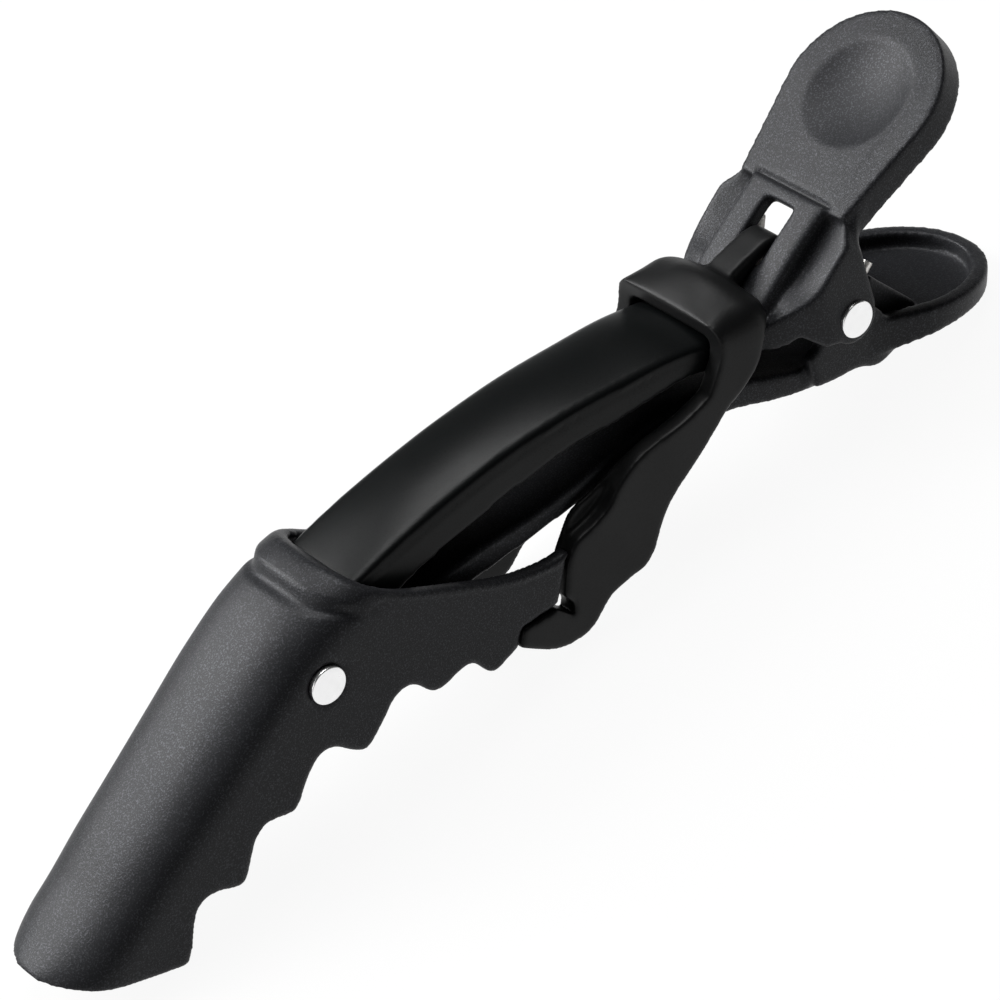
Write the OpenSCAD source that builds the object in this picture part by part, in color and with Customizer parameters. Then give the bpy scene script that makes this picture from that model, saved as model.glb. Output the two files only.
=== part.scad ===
// Sectioning clip for hairdressing: a sprung crocodile clip with a bowed arm, a
// hinged front jaw held by a rubber tension strap, and a lower jaw nested inside.
// Lengths in millimetres, +Z up. The clip lies closed on a table: the table is
// z = 0, the tip points to -X, the thumb pads to +X, and y = 0 is the mid-plane.

/* [Pivots] */
// Distance along X between the two pivot pins
pivot_span = 64; // [60:0.5:70]
// Height of the front pin above the rear pin
front_pivot_rise = 4.8; // [4:0.1:6]
// Height of the rear pin above the table
rear_pivot_height = 12.3; // [12.3:0.1:16]
// Diameter of both pin shanks
pin_d = 2.4; // [1.8:0.1:2.8]
// Diameter of the riveted heads
pin_head_d = 3.8; // [3.4:0.1:4.4]
// Thickness of the riveted heads
pin_head_t = 0.7; // [0.5:0.05:1]
// Radial play of a pin in its holes
pin_play = 0.05; // [0.02:0.01:0.1]
// Gap between parts that move past each other
side_gap = 0.2; // [0.15:0.05:0.4]

/* [Arm of the upper lever] */
// Width of the bowed arm at its front end
arm_w = 10; // [9:0.2:10.4]
// Width of the arm where the strap grips it
arm_rear_w = 11.2; // [10.4:0.2:11.6]
// Wall of the arm channel
arm_wall = 1.4; // [1:0.1:1.8]
// Radius of the boss round the front pin
boss_r = 3.2; // [2.6:0.1:3.4]

/* [Saddle and thumb pad of the upper lever] */
// Width over the cheeks
saddle_w = 18.1; // [17.6:0.1:20]
// Wall of the cheeks
cheek_wall = 1.4; // [1.1:0.1:1.6]
// Radius of the lugs round the rear pin
lug_r = 2.75; // [2.5:0.05:3.2]
// Width of the raised platform in front of the pad
platform_w = 10.4; // [9.6:0.2:10.8]
// Width of the slot through the platform
slot_w = 3.8; // [3:0.1:4.6]
// Length of the slot through the platform
slot_len = 6.5; // [5:0.5:7]
// How much wider the disc of the thumb pad is than the saddle
pad_over = 0.1; // [-0.8:0.1:1.2]
// Slope of the thumb pad in degrees
pad_slope = 25.4; // [22:0.2:29]
// Distance from the step to the centre of the pad disc
pad_reach = 10.3; // [9.5:0.1:13]
// Thickness of the pad skin
pad_skin = 1.7; // [1.4:0.1:2]
// Height of the rim round the pad
pad_rim = 3.4; // [2.8:0.1:3.8]
// Diameter of the thumb dimple
dimple_d = 11; // [8:0.5:13]
// Depth of the thumb dimple
dimple_depth = 0.9; // [0.4:0.1:1]

/* [Front jaw] */
// Width of the front jaw at its pin
jaw_w = 14.8; // [14.6:0.1:16]
// Width of the front jaw at the nose
jaw_nose_w = 13.6; // [12.6:0.1:14]
// Wall of the front jaw
jaw_wall = 1.3; // [1:0.1:1.4]
// Reach of the nose ahead of the front pin
jaw_reach = 34.9; // [33:0.1:38]
// Height of the raised lip round the mouth
lip_h = 0.4; // [0.2:0.1:0.6]
// Length of the rails behind the front pin
rail_len = 27.3; // [26:0.1:28.5]

/* [Lower jaw] */
// Width of the lower bar
bar_w = 9.6; // [8.6:0.2:10]
// Height of the grip ridges on the lower bar
ridge_h = 0.7; // [0.4:0.1:1]
// Thickness of each ear
ear_t = 1.4; // [1.1:0.1:1.8]
// Radius of the ears round the rear pin
ear_r = 3.1; // [2.6:0.1:3.3]
// Set-back of the lower thumb pad from the cheeks on each side
lower_pad_inset = 0.15; // [0:0.05:0.8]
// Reach of the lower thumb pad behind the rear pin
lower_pad_reach = 20.6; // [19:0.2:23]
// Slope of the lower thumb pad in degrees
lower_pad_slope = 19.6; // [17:0.2:20]
// Width of the rim round the dish
rim_w = 1.7; // [1.2:0.1:2.4]
// Depth of the dish
dish_depth = 1.7; // [1:0.1:1.9]

/* [Tension strap] */
// Step from the side of the front jaw out to the side of the strap
strap_step = 0.2; // [0:0.05:0.5]
// Thickness of the strap legs
leg_t = 2.4; // [1.8:0.1:2.5]
// Height of the collar over the arm
collar_t = 2.1; // [1.6:0.1:2.6]
// Width of the tongue that anchors in the slot
tongue_w = 3.4; // [2.4:0.1:3.6]
// Gap between the strap and the parts that it grips
strap_gap = 0.1; // [0.05:0.05:0.2]

/* [Torsion spring] */
// Wire diameter of the spring
wire_d = 1.1; // [0.8:0.05:1.2]
// Number of turns in the coil
coil_turns = 7; // [4:1:7]
// Gap between the wire and the pin inside the coil
coil_gap = 0.15; // [0.1:0.05:0.3]

/* [Hidden] */
$fn = 48;

// ---- frame ----------------------------------------------------------------
// Every shape is drawn from the rear pin axis; the box of the closed clip is
// centred over the origin.
pad_d = saddle_w + pad_over;
upper_pad_end = 3.5 + (pad_reach + pad_d / 2) * cos(pad_slope) + pad_rim * sin(pad_slope);
rear_end = max(upper_pad_end, lower_pad_reach);
rear_x = (pivot_span + jaw_reach - rear_end) / 2;
// Widths that follow from the ones above
ears_w = saddle_w - 2 * (cheek_wall + side_gap);
lower_pad_w = saddle_w - 2 * lower_pad_inset;
strap_w = jaw_w + 2 * strap_step;
module at_rear_pin() translate([rear_x, 0, rear_pivot_height]) children();

// ---- curves and lofts -----------------------------------------------------
// Index of the stretch of the point list p that holds x
function stretch(p, x, i = 0) = i >= len(p) - 2 || x < p[i + 1][0] ? i : stretch(p, x, i + 1);
// Slope of the smooth curve at point i
function tangent(p, i) = let (a = max(i - 1, 0), b = min(i + 1, len(p) - 1))
    (p[b][1] - p[a][1]) / (p[b][0] - p[a][0]);
// Smooth curve through the points p, read at x
function curve(p, x) = let (
        i = stretch(p, x), h = p[i + 1][0] - p[i][0],
        t = max(0, min(1, (x - p[i][0]) / h)), s = t * t * (3 - 2 * t))
    (1 - s) * p[i][1] + s * p[i + 1][1]
        + t * (1 - t) * h * ((1 - t) * tangent(p, i) - t * tangent(p, i + 1));
// The points of the smooth curve through p, a step apart
function trace(p, step) = let (n = ceil((p[len(p) - 1][0] - p[0][0]) / step))
    [for (i = [0 : n]) let (x = p[0][0] + (p[len(p) - 1][0] - p[0][0]) * i / n) [x, curve(p, x)]];
function reverse(a) = [for (i = [len(a) - 1 : -1 : 0]) a[i]];
function blend(a, b, t) = a + (b - a) * max(0, min(1, t));
// Closed section of a channel: outer half-path and inner half-path, both [y, z]
// from the bottom edge to the crown, set at x
function channel_ring(x, outer, inner) = [
    for (q = outer) [x, -q[0], q[1]],
    for (q = reverse(outer)) if (q[0] > 0) [x, q[0], q[1]],
    for (q = inner) [x, q[0], q[1]],
    for (q = reverse(inner)) if (q[0] > 0) [x, -q[0], q[1]]];
// Two triangles of the end cap at ring offset e, between point i and its partner
function cap(e, i, n, front) =
    let (o = n - 1 - i, a = [e + i, e + i + 1, e + o], b = [e + i + 1, e + o - 1, e + o])
    front ? [reverse(a), reverse(b)] : [a, b];
// Solid through a row of rings with equal, even point counts
module loft(rings) {
    n = len(rings[0]);
    m = len(rings);
    polyhedron(
        points = [for (r = rings) each r],
        faces = [
            for (e = [0, (m - 1) * n], i = [0 : n / 2 - 2]) each cap(e, i, n, e == 0),
            for (j = [0 : m - 2], i = [0 : n - 1]) let (k = (i + 1) % n)
                each [[j * n + i, (j + 1) * n + k, (j + 1) * n + i],
                    [j * n + i, j * n + k, (j + 1) * n + k]]]);
}
// Side profile [x, z] as a slab across the clip
module slab(profile, width) rotate([90, 0, 0]) linear_extrude(width, center = true) polygon(profile);
// Cylinder across the clip at [x, z]
module cross_bore(x, z, d, width) translate([x, 0, z]) rotate([90, 0, 0])
    cylinder(d = d, h = width, center = true);

// Height of the line through both pins
function chord(x) = -x / pivot_span * front_pivot_rise;
// Place along the arm: 0 at the strap, 1 at the front pin
collar_x = -14.3;
function arm_u(x) = (collar_x - x) / (pivot_span + collar_x);

// ---- upper lever ----------------------------------------------------------
// Half-width of the pad's neck
pad_root_half = 7.25;
// Top of the arm above the chord, by place along the arm
arm_rise = [[0, 5], [0.09, 6.15], [0.2, 6.95], [0.33, 7.7], [0.44, 7.9], [0.54, 7.75], [0.71, 6.95],
    [0.85, 5.7], [0.9, 4.95], [1, 3], [1.08, 1.4]];
// Top of the platform between the strap and the pad
platform_top = [[-14.3, 6.1], [-12, 5.2], [-9.5, 4.6], [-6.4, 5.4], [-2.9, 7], [0.5, 8.6], [3.3, 9.9]];
// Width over the cheeks as a share of the way from the arm to the full width
flare = [[-8.6, 0], [-8.1, 0.22], [-7, 0.5], [-5, 0.8], [-3, 0.98], [-2, 1]];
// Top of the cheeks' sides, fold at the edge of the gutter, and floor of the gutter
side_top = [[-9, 3.2], [-7, 4], [-5, 4.6], [-3.7, 5], [-2.3, 5.7], [-0.7, 6.7], [1.1, 7.7], [1.8, 7.2],
    [3.1, 5.6]];
fold_top = [[-9, 3.6], [-7, 4.4], [-5, 4.95], [-3.7, 5.3], [-2.3, 6], [-0.7, 7], [1.1, 8], [3.1, 9.3]];
gutter_top = [[-9, 4.1], [-7, 4.6], [-4.1, 5], [-1.5, 5.6], [0.6, 6.5], [2.1, 7.25], [2.7, 7.9],
    [3.1, 8.8]];
function arm_top(x) = x < collar_x ? chord(x) + curve(arm_rise, arm_u(x)) : curve(platform_top, x);
function arm_half(x) = x < collar_x ? blend(arm_rear_w, arm_w, arm_u(x) * 2.2) / 2
    : blend(arm_rear_w, platform_w, (x - collar_x) / 6) / 2;
function cheek_half(x) = x < -8.6 ? arm_half(x) : blend(arm_half(x), saddle_w / 2, curve(flare, x));
// Where the fold lies: at the cheek's edge, then drawn in to the neck of the pad
function fold_half(x) = blend(cheek_half(x) - 0.15, pad_root_half, (x - 1.2) / 1.9);
deep = -6;
arm_crown = 0.8;
// Crown of the top: full along the arm, faded out under the mouth and on the platform
function crown(x) = x < collar_x ? blend(arm_crown, 0.1, (arm_u(x) - 0.78) / 0.12)
    : blend(arm_crown, 0.05, (x - collar_x) / 7);
platform_skin = 1.75;
// Half-path of the lever section, at wall distance t inside the skin
function lever_half(x, t) = let (
        saddle = x > -8.6, w = arm_half(x) - t, cut = saddle ? 0 : 0.2,
        top = arm_top(x) - (t > 0 ? (saddle ? platform_skin : arm_wall) : 0),
        ch = cheek_half(x) - (t > 0 ? cheek_wall : 0),
        zs = saddle ? curve(side_top, x) - t : top - 2.4, zf = saddle ? curve(fold_top, x) - t : top - 1.9,
        zg = min(saddle ? curve(gutter_top, x) - t * 0.9 : top - 1.3, top - 1.3))
    [[ch, deep], [ch, zs], [saddle ? fold_half(x) - t : w, zf], [w + (saddle ? 0.1 : 0), zg],
     [w - cut, top - 0.85], [w - 0.05, top - 0.55], [w - 0.22, top - 0.12],
     for (q = [0.85, 0.6, 0.3, 0]) [w * q, top + crown(x) * (1 - q * q)]];
lever_x = concat(
    [for (i = [0 : 16]) -pivot_span - 4.4 + i * (pivot_span + collar_x + 4.4) / 16],
    [-13, -11.5, -10, -9, -8.6, -8.1, -7.5, -6.6, -5.6, -4.6, -3.6, -2.4, -1.2, 0, 1.2, 1.8, 2.4, 3.1]);
module lever_channel() loft([for (x = lever_x) channel_ring(x, lever_half(x, 0), lever_half(x, arm_wall))]);
// Lower edge of the arm walls, then of the cheeks, from front to rear
arm_under = [[0.06, 3], [0.18, 3.35], [0.26, 3.6], [0.34, 4.05], [0.42, 3.95], [0.5, 3.85], [0.61, 3.25],
    [0.71, 2.65], [0.82, 1.2], [0.92, -1.2]];
function arm_under_x(u) = collar_x - u * (pivot_span + collar_x);
lever_profile = concat(
    [[3.1, 14], [-pivot_span - boss_r, 14], [-pivot_span - boss_r, front_pivot_rise]],
    [for (a = [195 : 15 : 300]) [-pivot_span + boss_r * cos(a), front_pivot_rise + boss_r * sin(a)]],
    [for (i = [14 : -1 : 0]) let (u = 0.06 + 0.86 * i / 14, x = arm_under_x(u))
        [x, chord(x) + curve(arm_under, u)]],
    [[-14.5, 3.2], [-11.5, 2.2], [-10.2, 1.2], [-8.7, 0.5], [-7, 0.9], [-5.7, 1.4], [-5, 0.5],
        [-3.75, -1.1]],
    [for (a = [210 : 15 : 360]) [lug_r * cos(a), lug_r * sin(a)]],
    [[lug_r, 5.4], [3.1, 7.2]]);
// Outline of a pad in its own plane: straight from the root to the disc
function pad_outline(root, r, cx, inset) = let (a0 = 98)
    concat([[0, -root + inset]],
        [for (a = [-a0 : 7 : a0 + 0.1]) [cx + (r - inset) * cos(a), (r - inset) * sin(a)]],
        [[0, root - inset]]);
module thumb_pad() translate([3.5, 0, 9.95]) rotate([0, -pad_slope, 0]) difference() {
    translate([-0.9, 0, -pad_rim]) linear_extrude(pad_rim)
        polygon(pad_outline(pad_root_half, pad_d / 2, pad_reach + 0.9, 0));
    translate([-2, 0, -pad_rim - 1]) linear_extrude(pad_rim + 1 - pad_skin)
        polygon(pad_outline(pad_root_half, pad_d / 2, pad_reach + 2, 1.5));
    dimple_r = (dimple_d * dimple_d / 4 + dimple_depth * dimple_depth) / (2 * dimple_depth);
    translate([pad_reach, 0, dimple_r - dimple_depth]) sphere(r = dimple_r, $fn = 96);
}
module upper_lever() color("dimgray") at_rear_pin() difference() {
    union() {
        intersection() {
            lever_channel();
            slab(lever_profile, saddle_w + 2);
        }
        thumb_pad();
        // gussets that carry the cheeks' rear edge up into the rim of the pad
        for (side = [-1, 1]) mirror([0, (1 - side) / 2, 0]) hull() {
            translate([2.3, saddle_w / 2 - cheek_wall, 4.6]) cube([0.45, cheek_wall, 1.3]);
            translate([4.3, pad_root_half - 1.3, 7.2]) cube([0.4, 1.5, 2.6]);
        }
    }
    cross_bore(0, 0, pin_d + 2 * pin_play, saddle_w + 2);
    cross_bore(-pivot_span, front_pivot_rise, pin_d + 2 * pin_play, arm_w + 2);
    // shadow groove in front of the pad's step
    translate([3.5, 0, 9.95]) rotate([0, -pad_slope, 0])
        translate([-0.55, -platform_w / 2, -0.5]) cube([0.5, platform_w, 2]);
    translate([1.7, 0, 9]) rotate([0, -26, 0]) translate([-slot_len, -slot_w / 2, -5]) cube([slot_len,
        slot_w, 9]);
}

// ---- front jaw (drawn from the front pin axis) ----------------------------
jaw_crown = [[-37, -12.4], [-32.1, -10.35], [-27.3, -8.1], [-22.7, -5.5], [-17.9, -3], [-10.9, 0.7],
    [-6.2, 3.2], [-1.3, 5.5], [1.5, 6.4], [4.6, 7.1], [8.5, 7.3], [28, 7.3]];
function jaw_half(x) = blend(jaw_nose_w, jaw_w, (x + 30) / 24) / 2;
// Raised lip behind the groove that follows the mouth
function lip(x, y) = lip_h * max(0, min(1, (x - 2.6 - abs(y) * 0.25) / 0.8));
shoulder_drop = 4.6;
// Half-path of the shell section, at wall distance t inside the skin
function jaw_path(x, t) = let (w = jaw_half(x) - t, top = curve(jaw_crown, x) - t * 1.1,
    d = shoulder_drop - t)
    concat([[w, -19.5], [w, top - d - 1]],
        [for (a = [90 : -10 : 10]) let (e = t > 0 ? 0.62 : 0.8, y = w * pow(sin(a), e),
            z = d * pow(cos(a), e))
            [y, top - d + z + (t > 0 ? 0 : lip(x, y))]],
        [[0, top + (t > 0 ? 0 : lip(x, 0))]]);
jaw_x = [-37, -34.5, -32, -29, -26, -22.7, -19, -15, -11, -8, -5, -2.5, 0, 1.5, 2.6, 3.4, 4.2, 5, 6, 7.5,
    10, 28];
module jaw_shell() loft([for (x = jaw_x) channel_ring(x, jaw_path(x, 0), jaw_path(x, jaw_wall))]);
// Scalloped lower edge: the six teeth and the hollows between them
jaw_teeth = [[-23.6, -17.08], [-22.6, -16.95], [-20.4, -12.9], [-19.2, -12.05], [-17.6, -12.2],
    [-15.5, -13.4],
    [-14.5, -13.2], [-12.2, -10.1], [-11.1, -9.3], [-9.8, -9.4], [-8, -10.1], [-7, -9.8], [-5.2, -7.9],
        [-3.2, -6.6],
    [-1.6, -7.1], [0.2, -9.2], [1.4, -9.8], [3.8, -8.4], [5.4, -7.2], [6.8, -6.8], [8.1, -7.4],
        [9.7, -9.7], [13.6, -9.7],
    [14.6, -10.4], [15.5, -12.2], [16.4, -12.7], [17.9, -12.4]];
jaw_rail_top = [[7, 5.6], [10.1, 2.6], [15.3, -1.1], [20.4, -4.5], [24.6, -6.3], [rail_len, -6.8]];
jaw_profile = concat(
    [[-jaw_reach, -11.75], [-jaw_reach, 12], [5, 12], [5.6, 7.2]], trace(jaw_rail_top, 1.6),
    [[rail_len - 2.6, -11], [20.2, -10.5], [19.2, -12.2]], reverse(trace(jaw_teeth, 0.6)));
module front_jaw() color("black") at_rear_pin() translate([-pivot_span, 0, front_pivot_rise]) difference() {
    intersection() {
        jaw_shell();
        slab(jaw_profile, jaw_w + 2);
    }
    cross_bore(0, 0, pin_d + 2 * pin_play, jaw_w + 2);
}

// ---- lower jaw ------------------------------------------------------------
function to_nose(x) = -pivot_span + x;
bar_top = [[to_nose(-30), -8.9], [to_nose(-26), -8.1], [to_nose(-16), -4.8], [to_nose(-6), -1],
    [to_nose(0), 0.6],
    [to_nose(7), 2.4], [to_nose(14), 3.5], [to_nose(20.2), 3.3], [to_nose(26), 2.5], [-32.6, 2.1],
        [-27.3, 2.1],
    [-20, 1.5], [-14, 0.2], [-8, -2.6], [-3, -4.8], [3, -5.6]];
bar_under = [[to_nose(-30), -10.2], [to_nose(-26), -9.9], [to_nose(-16), -7.2], [to_nose(-6), -3.6],
    [to_nose(0), -1.8], [to_nose(7), 0.2], [to_nose(14), 1.4], [to_nose(20.2), 1.2], [to_nose(26), 0.7],
    [-32.6, 0.6], [-27.3, 0.2], [-20, -0.9], [-14, -2.8], [-8, -5.6], [-3, -7.3], [3, -8.4]];
bar_half = [[-94, 4.3], [-88, 4.7], [-64, 4.8], [-20, 4.8], [-14.5, 5], [-8, 6], [3, 6.1]];
ridge_pitch = 3;
ridge_x0 = -pivot_span - 27;
// Grip ridges across the front of the bar
function ridge(x) = x > ridge_x0 && x < ridge_x0 + 7 * ridge_pitch
    ? ridge_h * (1 - abs(1 - 2 * ((x - ridge_x0) / ridge_pitch - floor((x - ridge_x0) / ridge_pitch)))) : 0;
function bar_ring(x) = let (h = curve(bar_half, x) * bar_w / 9.6, zt = curve(bar_top, x) + ridge(x),
    zb = curve(bar_under, x),
        wall = 1.2, skin = min(1.3, zt - zb - 0.35))
    [[x, -h, zb], [x, -h, zt - 0.5], [x, -h + 0.5, zt], [x, h - 0.5, zt], [x, h, zt - 0.5], [x, h, zb],
     [x, h - wall, zb], [x, h - wall, zt - skin], [x, -h + wall, zt - skin], [x, -h + wall, zb]];
bar_x = concat(
    [to_nose(-30), to_nose(-28.5)], [for (i = [0 : 14]) ridge_x0 + i * ridge_pitch / 2],
    [for (i = [1 : 22]) let (a = ridge_x0 + 7 * ridge_pitch) a + (-2 - a) * i / 22]);
module lower_bar() loft([for (x = bar_x) bar_ring(x)]);
ear_profile = concat(
    [for (a = [-20 : 20 : 180]) [ear_r * cos(a), ear_r * sin(a)]],
    [[-ear_r - 0.6, -1.8], [-5.3, -2.2], [-5.4, -5.8], [-3, -6.6], [0, -7.4], [2, -8.7], [4.4, -8.7],
        [4.4, -3.6]]);
lower_rim_z = -2.7;
dish_top = 0.35;
// Outline of the lower pad in its own plane
function dish_outline(inset, start) = let (cx = 11,
    rx = lower_pad_reach / cos(lower_pad_slope) - cx - inset,
        ry = lower_pad_w / 2 - inset)
    concat([[start, -ry + 0.4]], [for (a = [-90 : 9 : 90]) [cx + rx * cos(a), ry * sin(a) ]],
        [[start, ry - 0.4]]);
module lower_pad() translate([0, 0, lower_rim_z]) rotate([0, lower_pad_slope, 0]) difference() {
    intersection() {
        translate([0, 0, -8]) linear_extrude(8) polygon(dish_outline(0, 3.6));
        slab([[3.6, 0], [3.6, -3], [6.5, -3.5], [9.6, -3.05], [12.8, -2.65], [17.3, -2.5], [30, -2.4],
            [30, 0]],
            lower_pad_w + 2);
    }
    translate([0, 0, -dish_depth]) linear_extrude(8) polygon(dish_outline(rim_w, 2));
}
// Line of the spring's seat leg, and the top of the posts a hair below it
seat_rise = 0.64;
function seat_leg_z(x) = -1.2 + seat_rise * (x - 3.2);
function seat_z(x) = seat_leg_z(x) - wire_d / 2 * sqrt(1 + seat_rise * seat_rise) - 0.05;
module lower_jaw() color("#2b2b2d") at_rear_pin() difference() {
    union() {
        lower_bar();
        for (side = [-1, 1]) translate([0, side * (ears_w - ear_t) / 2, 0]) slab(ear_profile, ear_t);
        slab([[-5, -5.2], [-2.5, -4.9], [2.5, -5.6], [4.6, -5.6], [4.6, -8.2], [2, -8.2], [-2, -7.2],
            [-5, -6]],
            ears_w - ear_t);
        lower_pad();
        // two posts that carry the spring's seat leg, with ramps down into the dish
        for (side = [-1, 1]) translate([0, side * seat_y, 0])
            slab([[3.6, -6.4], [3.9, seat_z(3.9)], [5.4, seat_z(5.4)], [6.3, -2], [9.8, -7.4],
                [9.4, -7.6]], 1.4);
    }
    cross_bore(0, 0, pin_d + 2 * pin_play, ears_w + 2);
}

// ---- tension strap --------------------------------------------------------
// Top of the collar and its half-width, which closes to a dome behind the cheeks' start
strap_top = [[-14.3, 0], [-12, 0.45], [-10, 0.05], [-8.6, -0.75], [-7.6, -1.8], [-7, -2.8]];
strap_close = [[-14.3, 0], [-9.6, 0], [-8.6, 0.3], [-7.8, 1], [-7.3, 1.6], [-7, 1.95]];
collar_x_end = -7;
function strap_ring(x) = let (
        xc = max(x, collar_x), wo = strap_w / 2 - curve(strap_close, xc), wi = strap_w / 2 - leg_t,
        wc = arm_half(max(x, -16)) + strap_gap, ceiling = arm_top(xc) + crown(xc) + strap_gap,
        top = max(arm_top(collar_x) + arm_crown + strap_gap + collar_t + curve(strap_top, xc),
            ceiling + 0.3))
    channel_ring(x,
        concat([[wo, -13], [wo, 1.5], [wo, top - 3]],
            [for (a = [15 : 15 : 75]) [wo - 2.3 + 2.3 * cos(a), top - 2.2 + 2.2 * sin(a)]], [[0, top]]),
        concat([[wi, -13], [wi, 0.8], [wc, 2.4]],
            [for (a = [0 : 22.5 : 67.5]) [wc - 1 + cos(a), ceiling - 1 + sin(a)]], [[wc - 1, ceiling],
                [0, ceiling]]));
hook_x = -pivot_span + rail_len;
// Inner layer of the legs, which reaches further forward inside the rails
strap_inner_profile = [[hook_x + 9.7, 2], [hook_x + 5.7, 1], [hook_x + 2.5, 0.4], [hook_x + 1, -1],
    [hook_x - 0.7, -3.2],
    [hook_x - 1.5, -5.4], [hook_x + 0.3, -6.4], [hook_x + 4.7, -4], [hook_x + 9.7, 0]];
strap_profile = [
    [collar_x_end, 12], [collar_x, 12], [collar_x, 6.4], [-14.7, 5.4], [-15.6, 4.2], [-17, 2.6],
        [-19.5, 2.2],
    [hook_x + 9.5, 1.9], [hook_x + 7.5, 1], [hook_x + 5.8, -0.3], [hook_x + 3.8, -0.9],
    [hook_x + strap_gap + 0.9, -1.4], [hook_x + strap_gap + 0.15, -2.1], [hook_x - 1.9, -6],
        [hook_x - 1.1, -7.6],
    [hook_x - 1.5, -9.1], [hook_x - 3.1, -6.9], [-pivot_span + 20.2, -5.9], [-pivot_span + 19.3, -7.4],
    [hook_x - 6.3, -9.1], [hook_x - 4.2, -10.8], [hook_x - 1.9, -11.5], [hook_x, -11.4],
        [hook_x + 1.4, -10.6],
    [hook_x + 2.7, -9.8], [hook_x + 5.7, -9.5], [hook_x + 7.5, -9.5], [hook_x + 8.8, -8.7],
        [hook_x + 10, -7.2],
    [hook_x + 11.3, -5.7], [hook_x + 12.8, -4.6], [-21.9, -3.6], [-19.8, -2.6],
    [-17.3, -1.2], [-15.6, -0.2], [-13.2, 0.6], [-10.6, 2.2], [-9.4, 4], [-8.8, 4.9], [collar_x_end, 5.3]];
module tension_strap() color("#101012") at_rear_pin() union() {
    intersection() {
        loft([for (x = [hook_x - 9.3, -30, -20, -16, -14.3, -13.2, -12, -11, -10, -9.2, -8.6, -8.1, -7.6,
            -7.3, -7.01]) strap_ring(x)]);
        union() {
            slab(strap_profile, strap_w + 2);
            slab(strap_inner_profile, jaw_w - 2 * jaw_wall - 2 * side_gap);
        }
    }
    // tongue up from the collar and down through the slot of the lever
    slab([[-9.5, 5.6], [-9.5, 7], [-6, 8.2], [-3.8, 7.9], [-1.7, 8.2], [-0.5, 7.4], [-0.3, 5.4],
        [-1.6, 4.4],
        [-2.6, 5.4], [-3.3, 6.9], [-4.1, 6.6], [-6.4, 5.65]], tongue_w);
}

// ---- pins -----------------------------------------------------------------
// Pin across the clip: shank and two low domed heads at half-width reach
module pin(reach) for (side = [0, 1]) mirror([0, side, 0]) rotate([90, 0, 0]) rotate_extrude()
    polygon(concat([[0, 0], [pin_d / 2, 0], [pin_d / 2, reach], [pin_head_d / 2, reach],
        [pin_head_d / 2, reach + pin_head_t * 0.45]],
        [for (a = [15 : 15 : 75]) [pin_head_d / 2 - 0.45 + 0.45 * cos(a),
            reach + pin_head_t * (0.45 + 0.55 * sin(a))]],
        [[0, reach + pin_head_t]]));
module rear_pin() color("gainsboro") at_rear_pin() pin(saddle_w / 2);
module front_pin() color("gainsboro") at_rear_pin() translate([-pivot_span, 0,
    front_pivot_rise]) pin(jaw_w / 2);

// ---- torsion spring -------------------------------------------------------
coil_r = pin_d / 2 + coil_gap + wire_d / 2;
// The coil and the leg beside it fill the room between the ears
ear_inner = ears_w / 2 - ear_t;
lever_leg_y = ear_inner - wire_d / 2 - side_gap / 2;
coil_half = lever_leg_y - 0.75;
coil_pitch = 2 * coil_half / coil_turns;
spring_steps = 16;
seat_y = coil_half;
// Centre line: seat leg, coil, then the leg that bears under the lever's gutter
spring_path = concat(
    [[6.4, -seat_y, seat_leg_z(6.4)], [3.2, -seat_y, seat_leg_z(3.2)], [1.4, -seat_y, -coil_r + 0.1]],
    [for (i = [0 : spring_steps * coil_turns + spring_steps / 2]) let (a = -90 - 360 * i / spring_steps)
        [coil_r * cos(a), -coil_half + coil_pitch * i / spring_steps, coil_r * sin(a)]],
    [[1.2, lever_leg_y, coil_r + 0.7], [2.2, lever_leg_y, 4.6]]);
function unit(v) = v / norm(v);
function ring_at(path, i, r, sides) = let (
        a = path[max(i - 1, 0)], b = path[min(i + 1, len(path) - 1)], d = unit(b - a),
        u = unit(cross(d, [0, 1, 0.001])), v = cross(d, u))
    [for (k = [0 : sides - 1]) path[i] + r * (u * cos(360 * k / sides) - v * sin(360 * k / sides))];
module torsion_spring() color("goldenrod") at_rear_pin()
    loft([for (i = [0 : len(spring_path) - 1]) ring_at(spring_path, i, wire_d / 2, 8)]);

lower_jaw();
upper_lever();
front_jaw();
tension_strap();
rear_pin();
front_pin();
torsion_spring();
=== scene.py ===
"""Looks of a hairdresser's sectioning clip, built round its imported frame.

Every moulded piece is drawn in millimetres from the rear pin axis: sections are
lofted along the clip, trimmed by side profiles, bored and then rounded like a
moulding. The rear pin's place comes from the frame, so the pieces land on the CAD.
"""

import logging
import math
from dataclasses import dataclass
from enum import Enum
from typing import ClassVar, Sequence

import bmesh
import bpy
import numpy as np
from mathutils import Matrix, Vector

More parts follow.
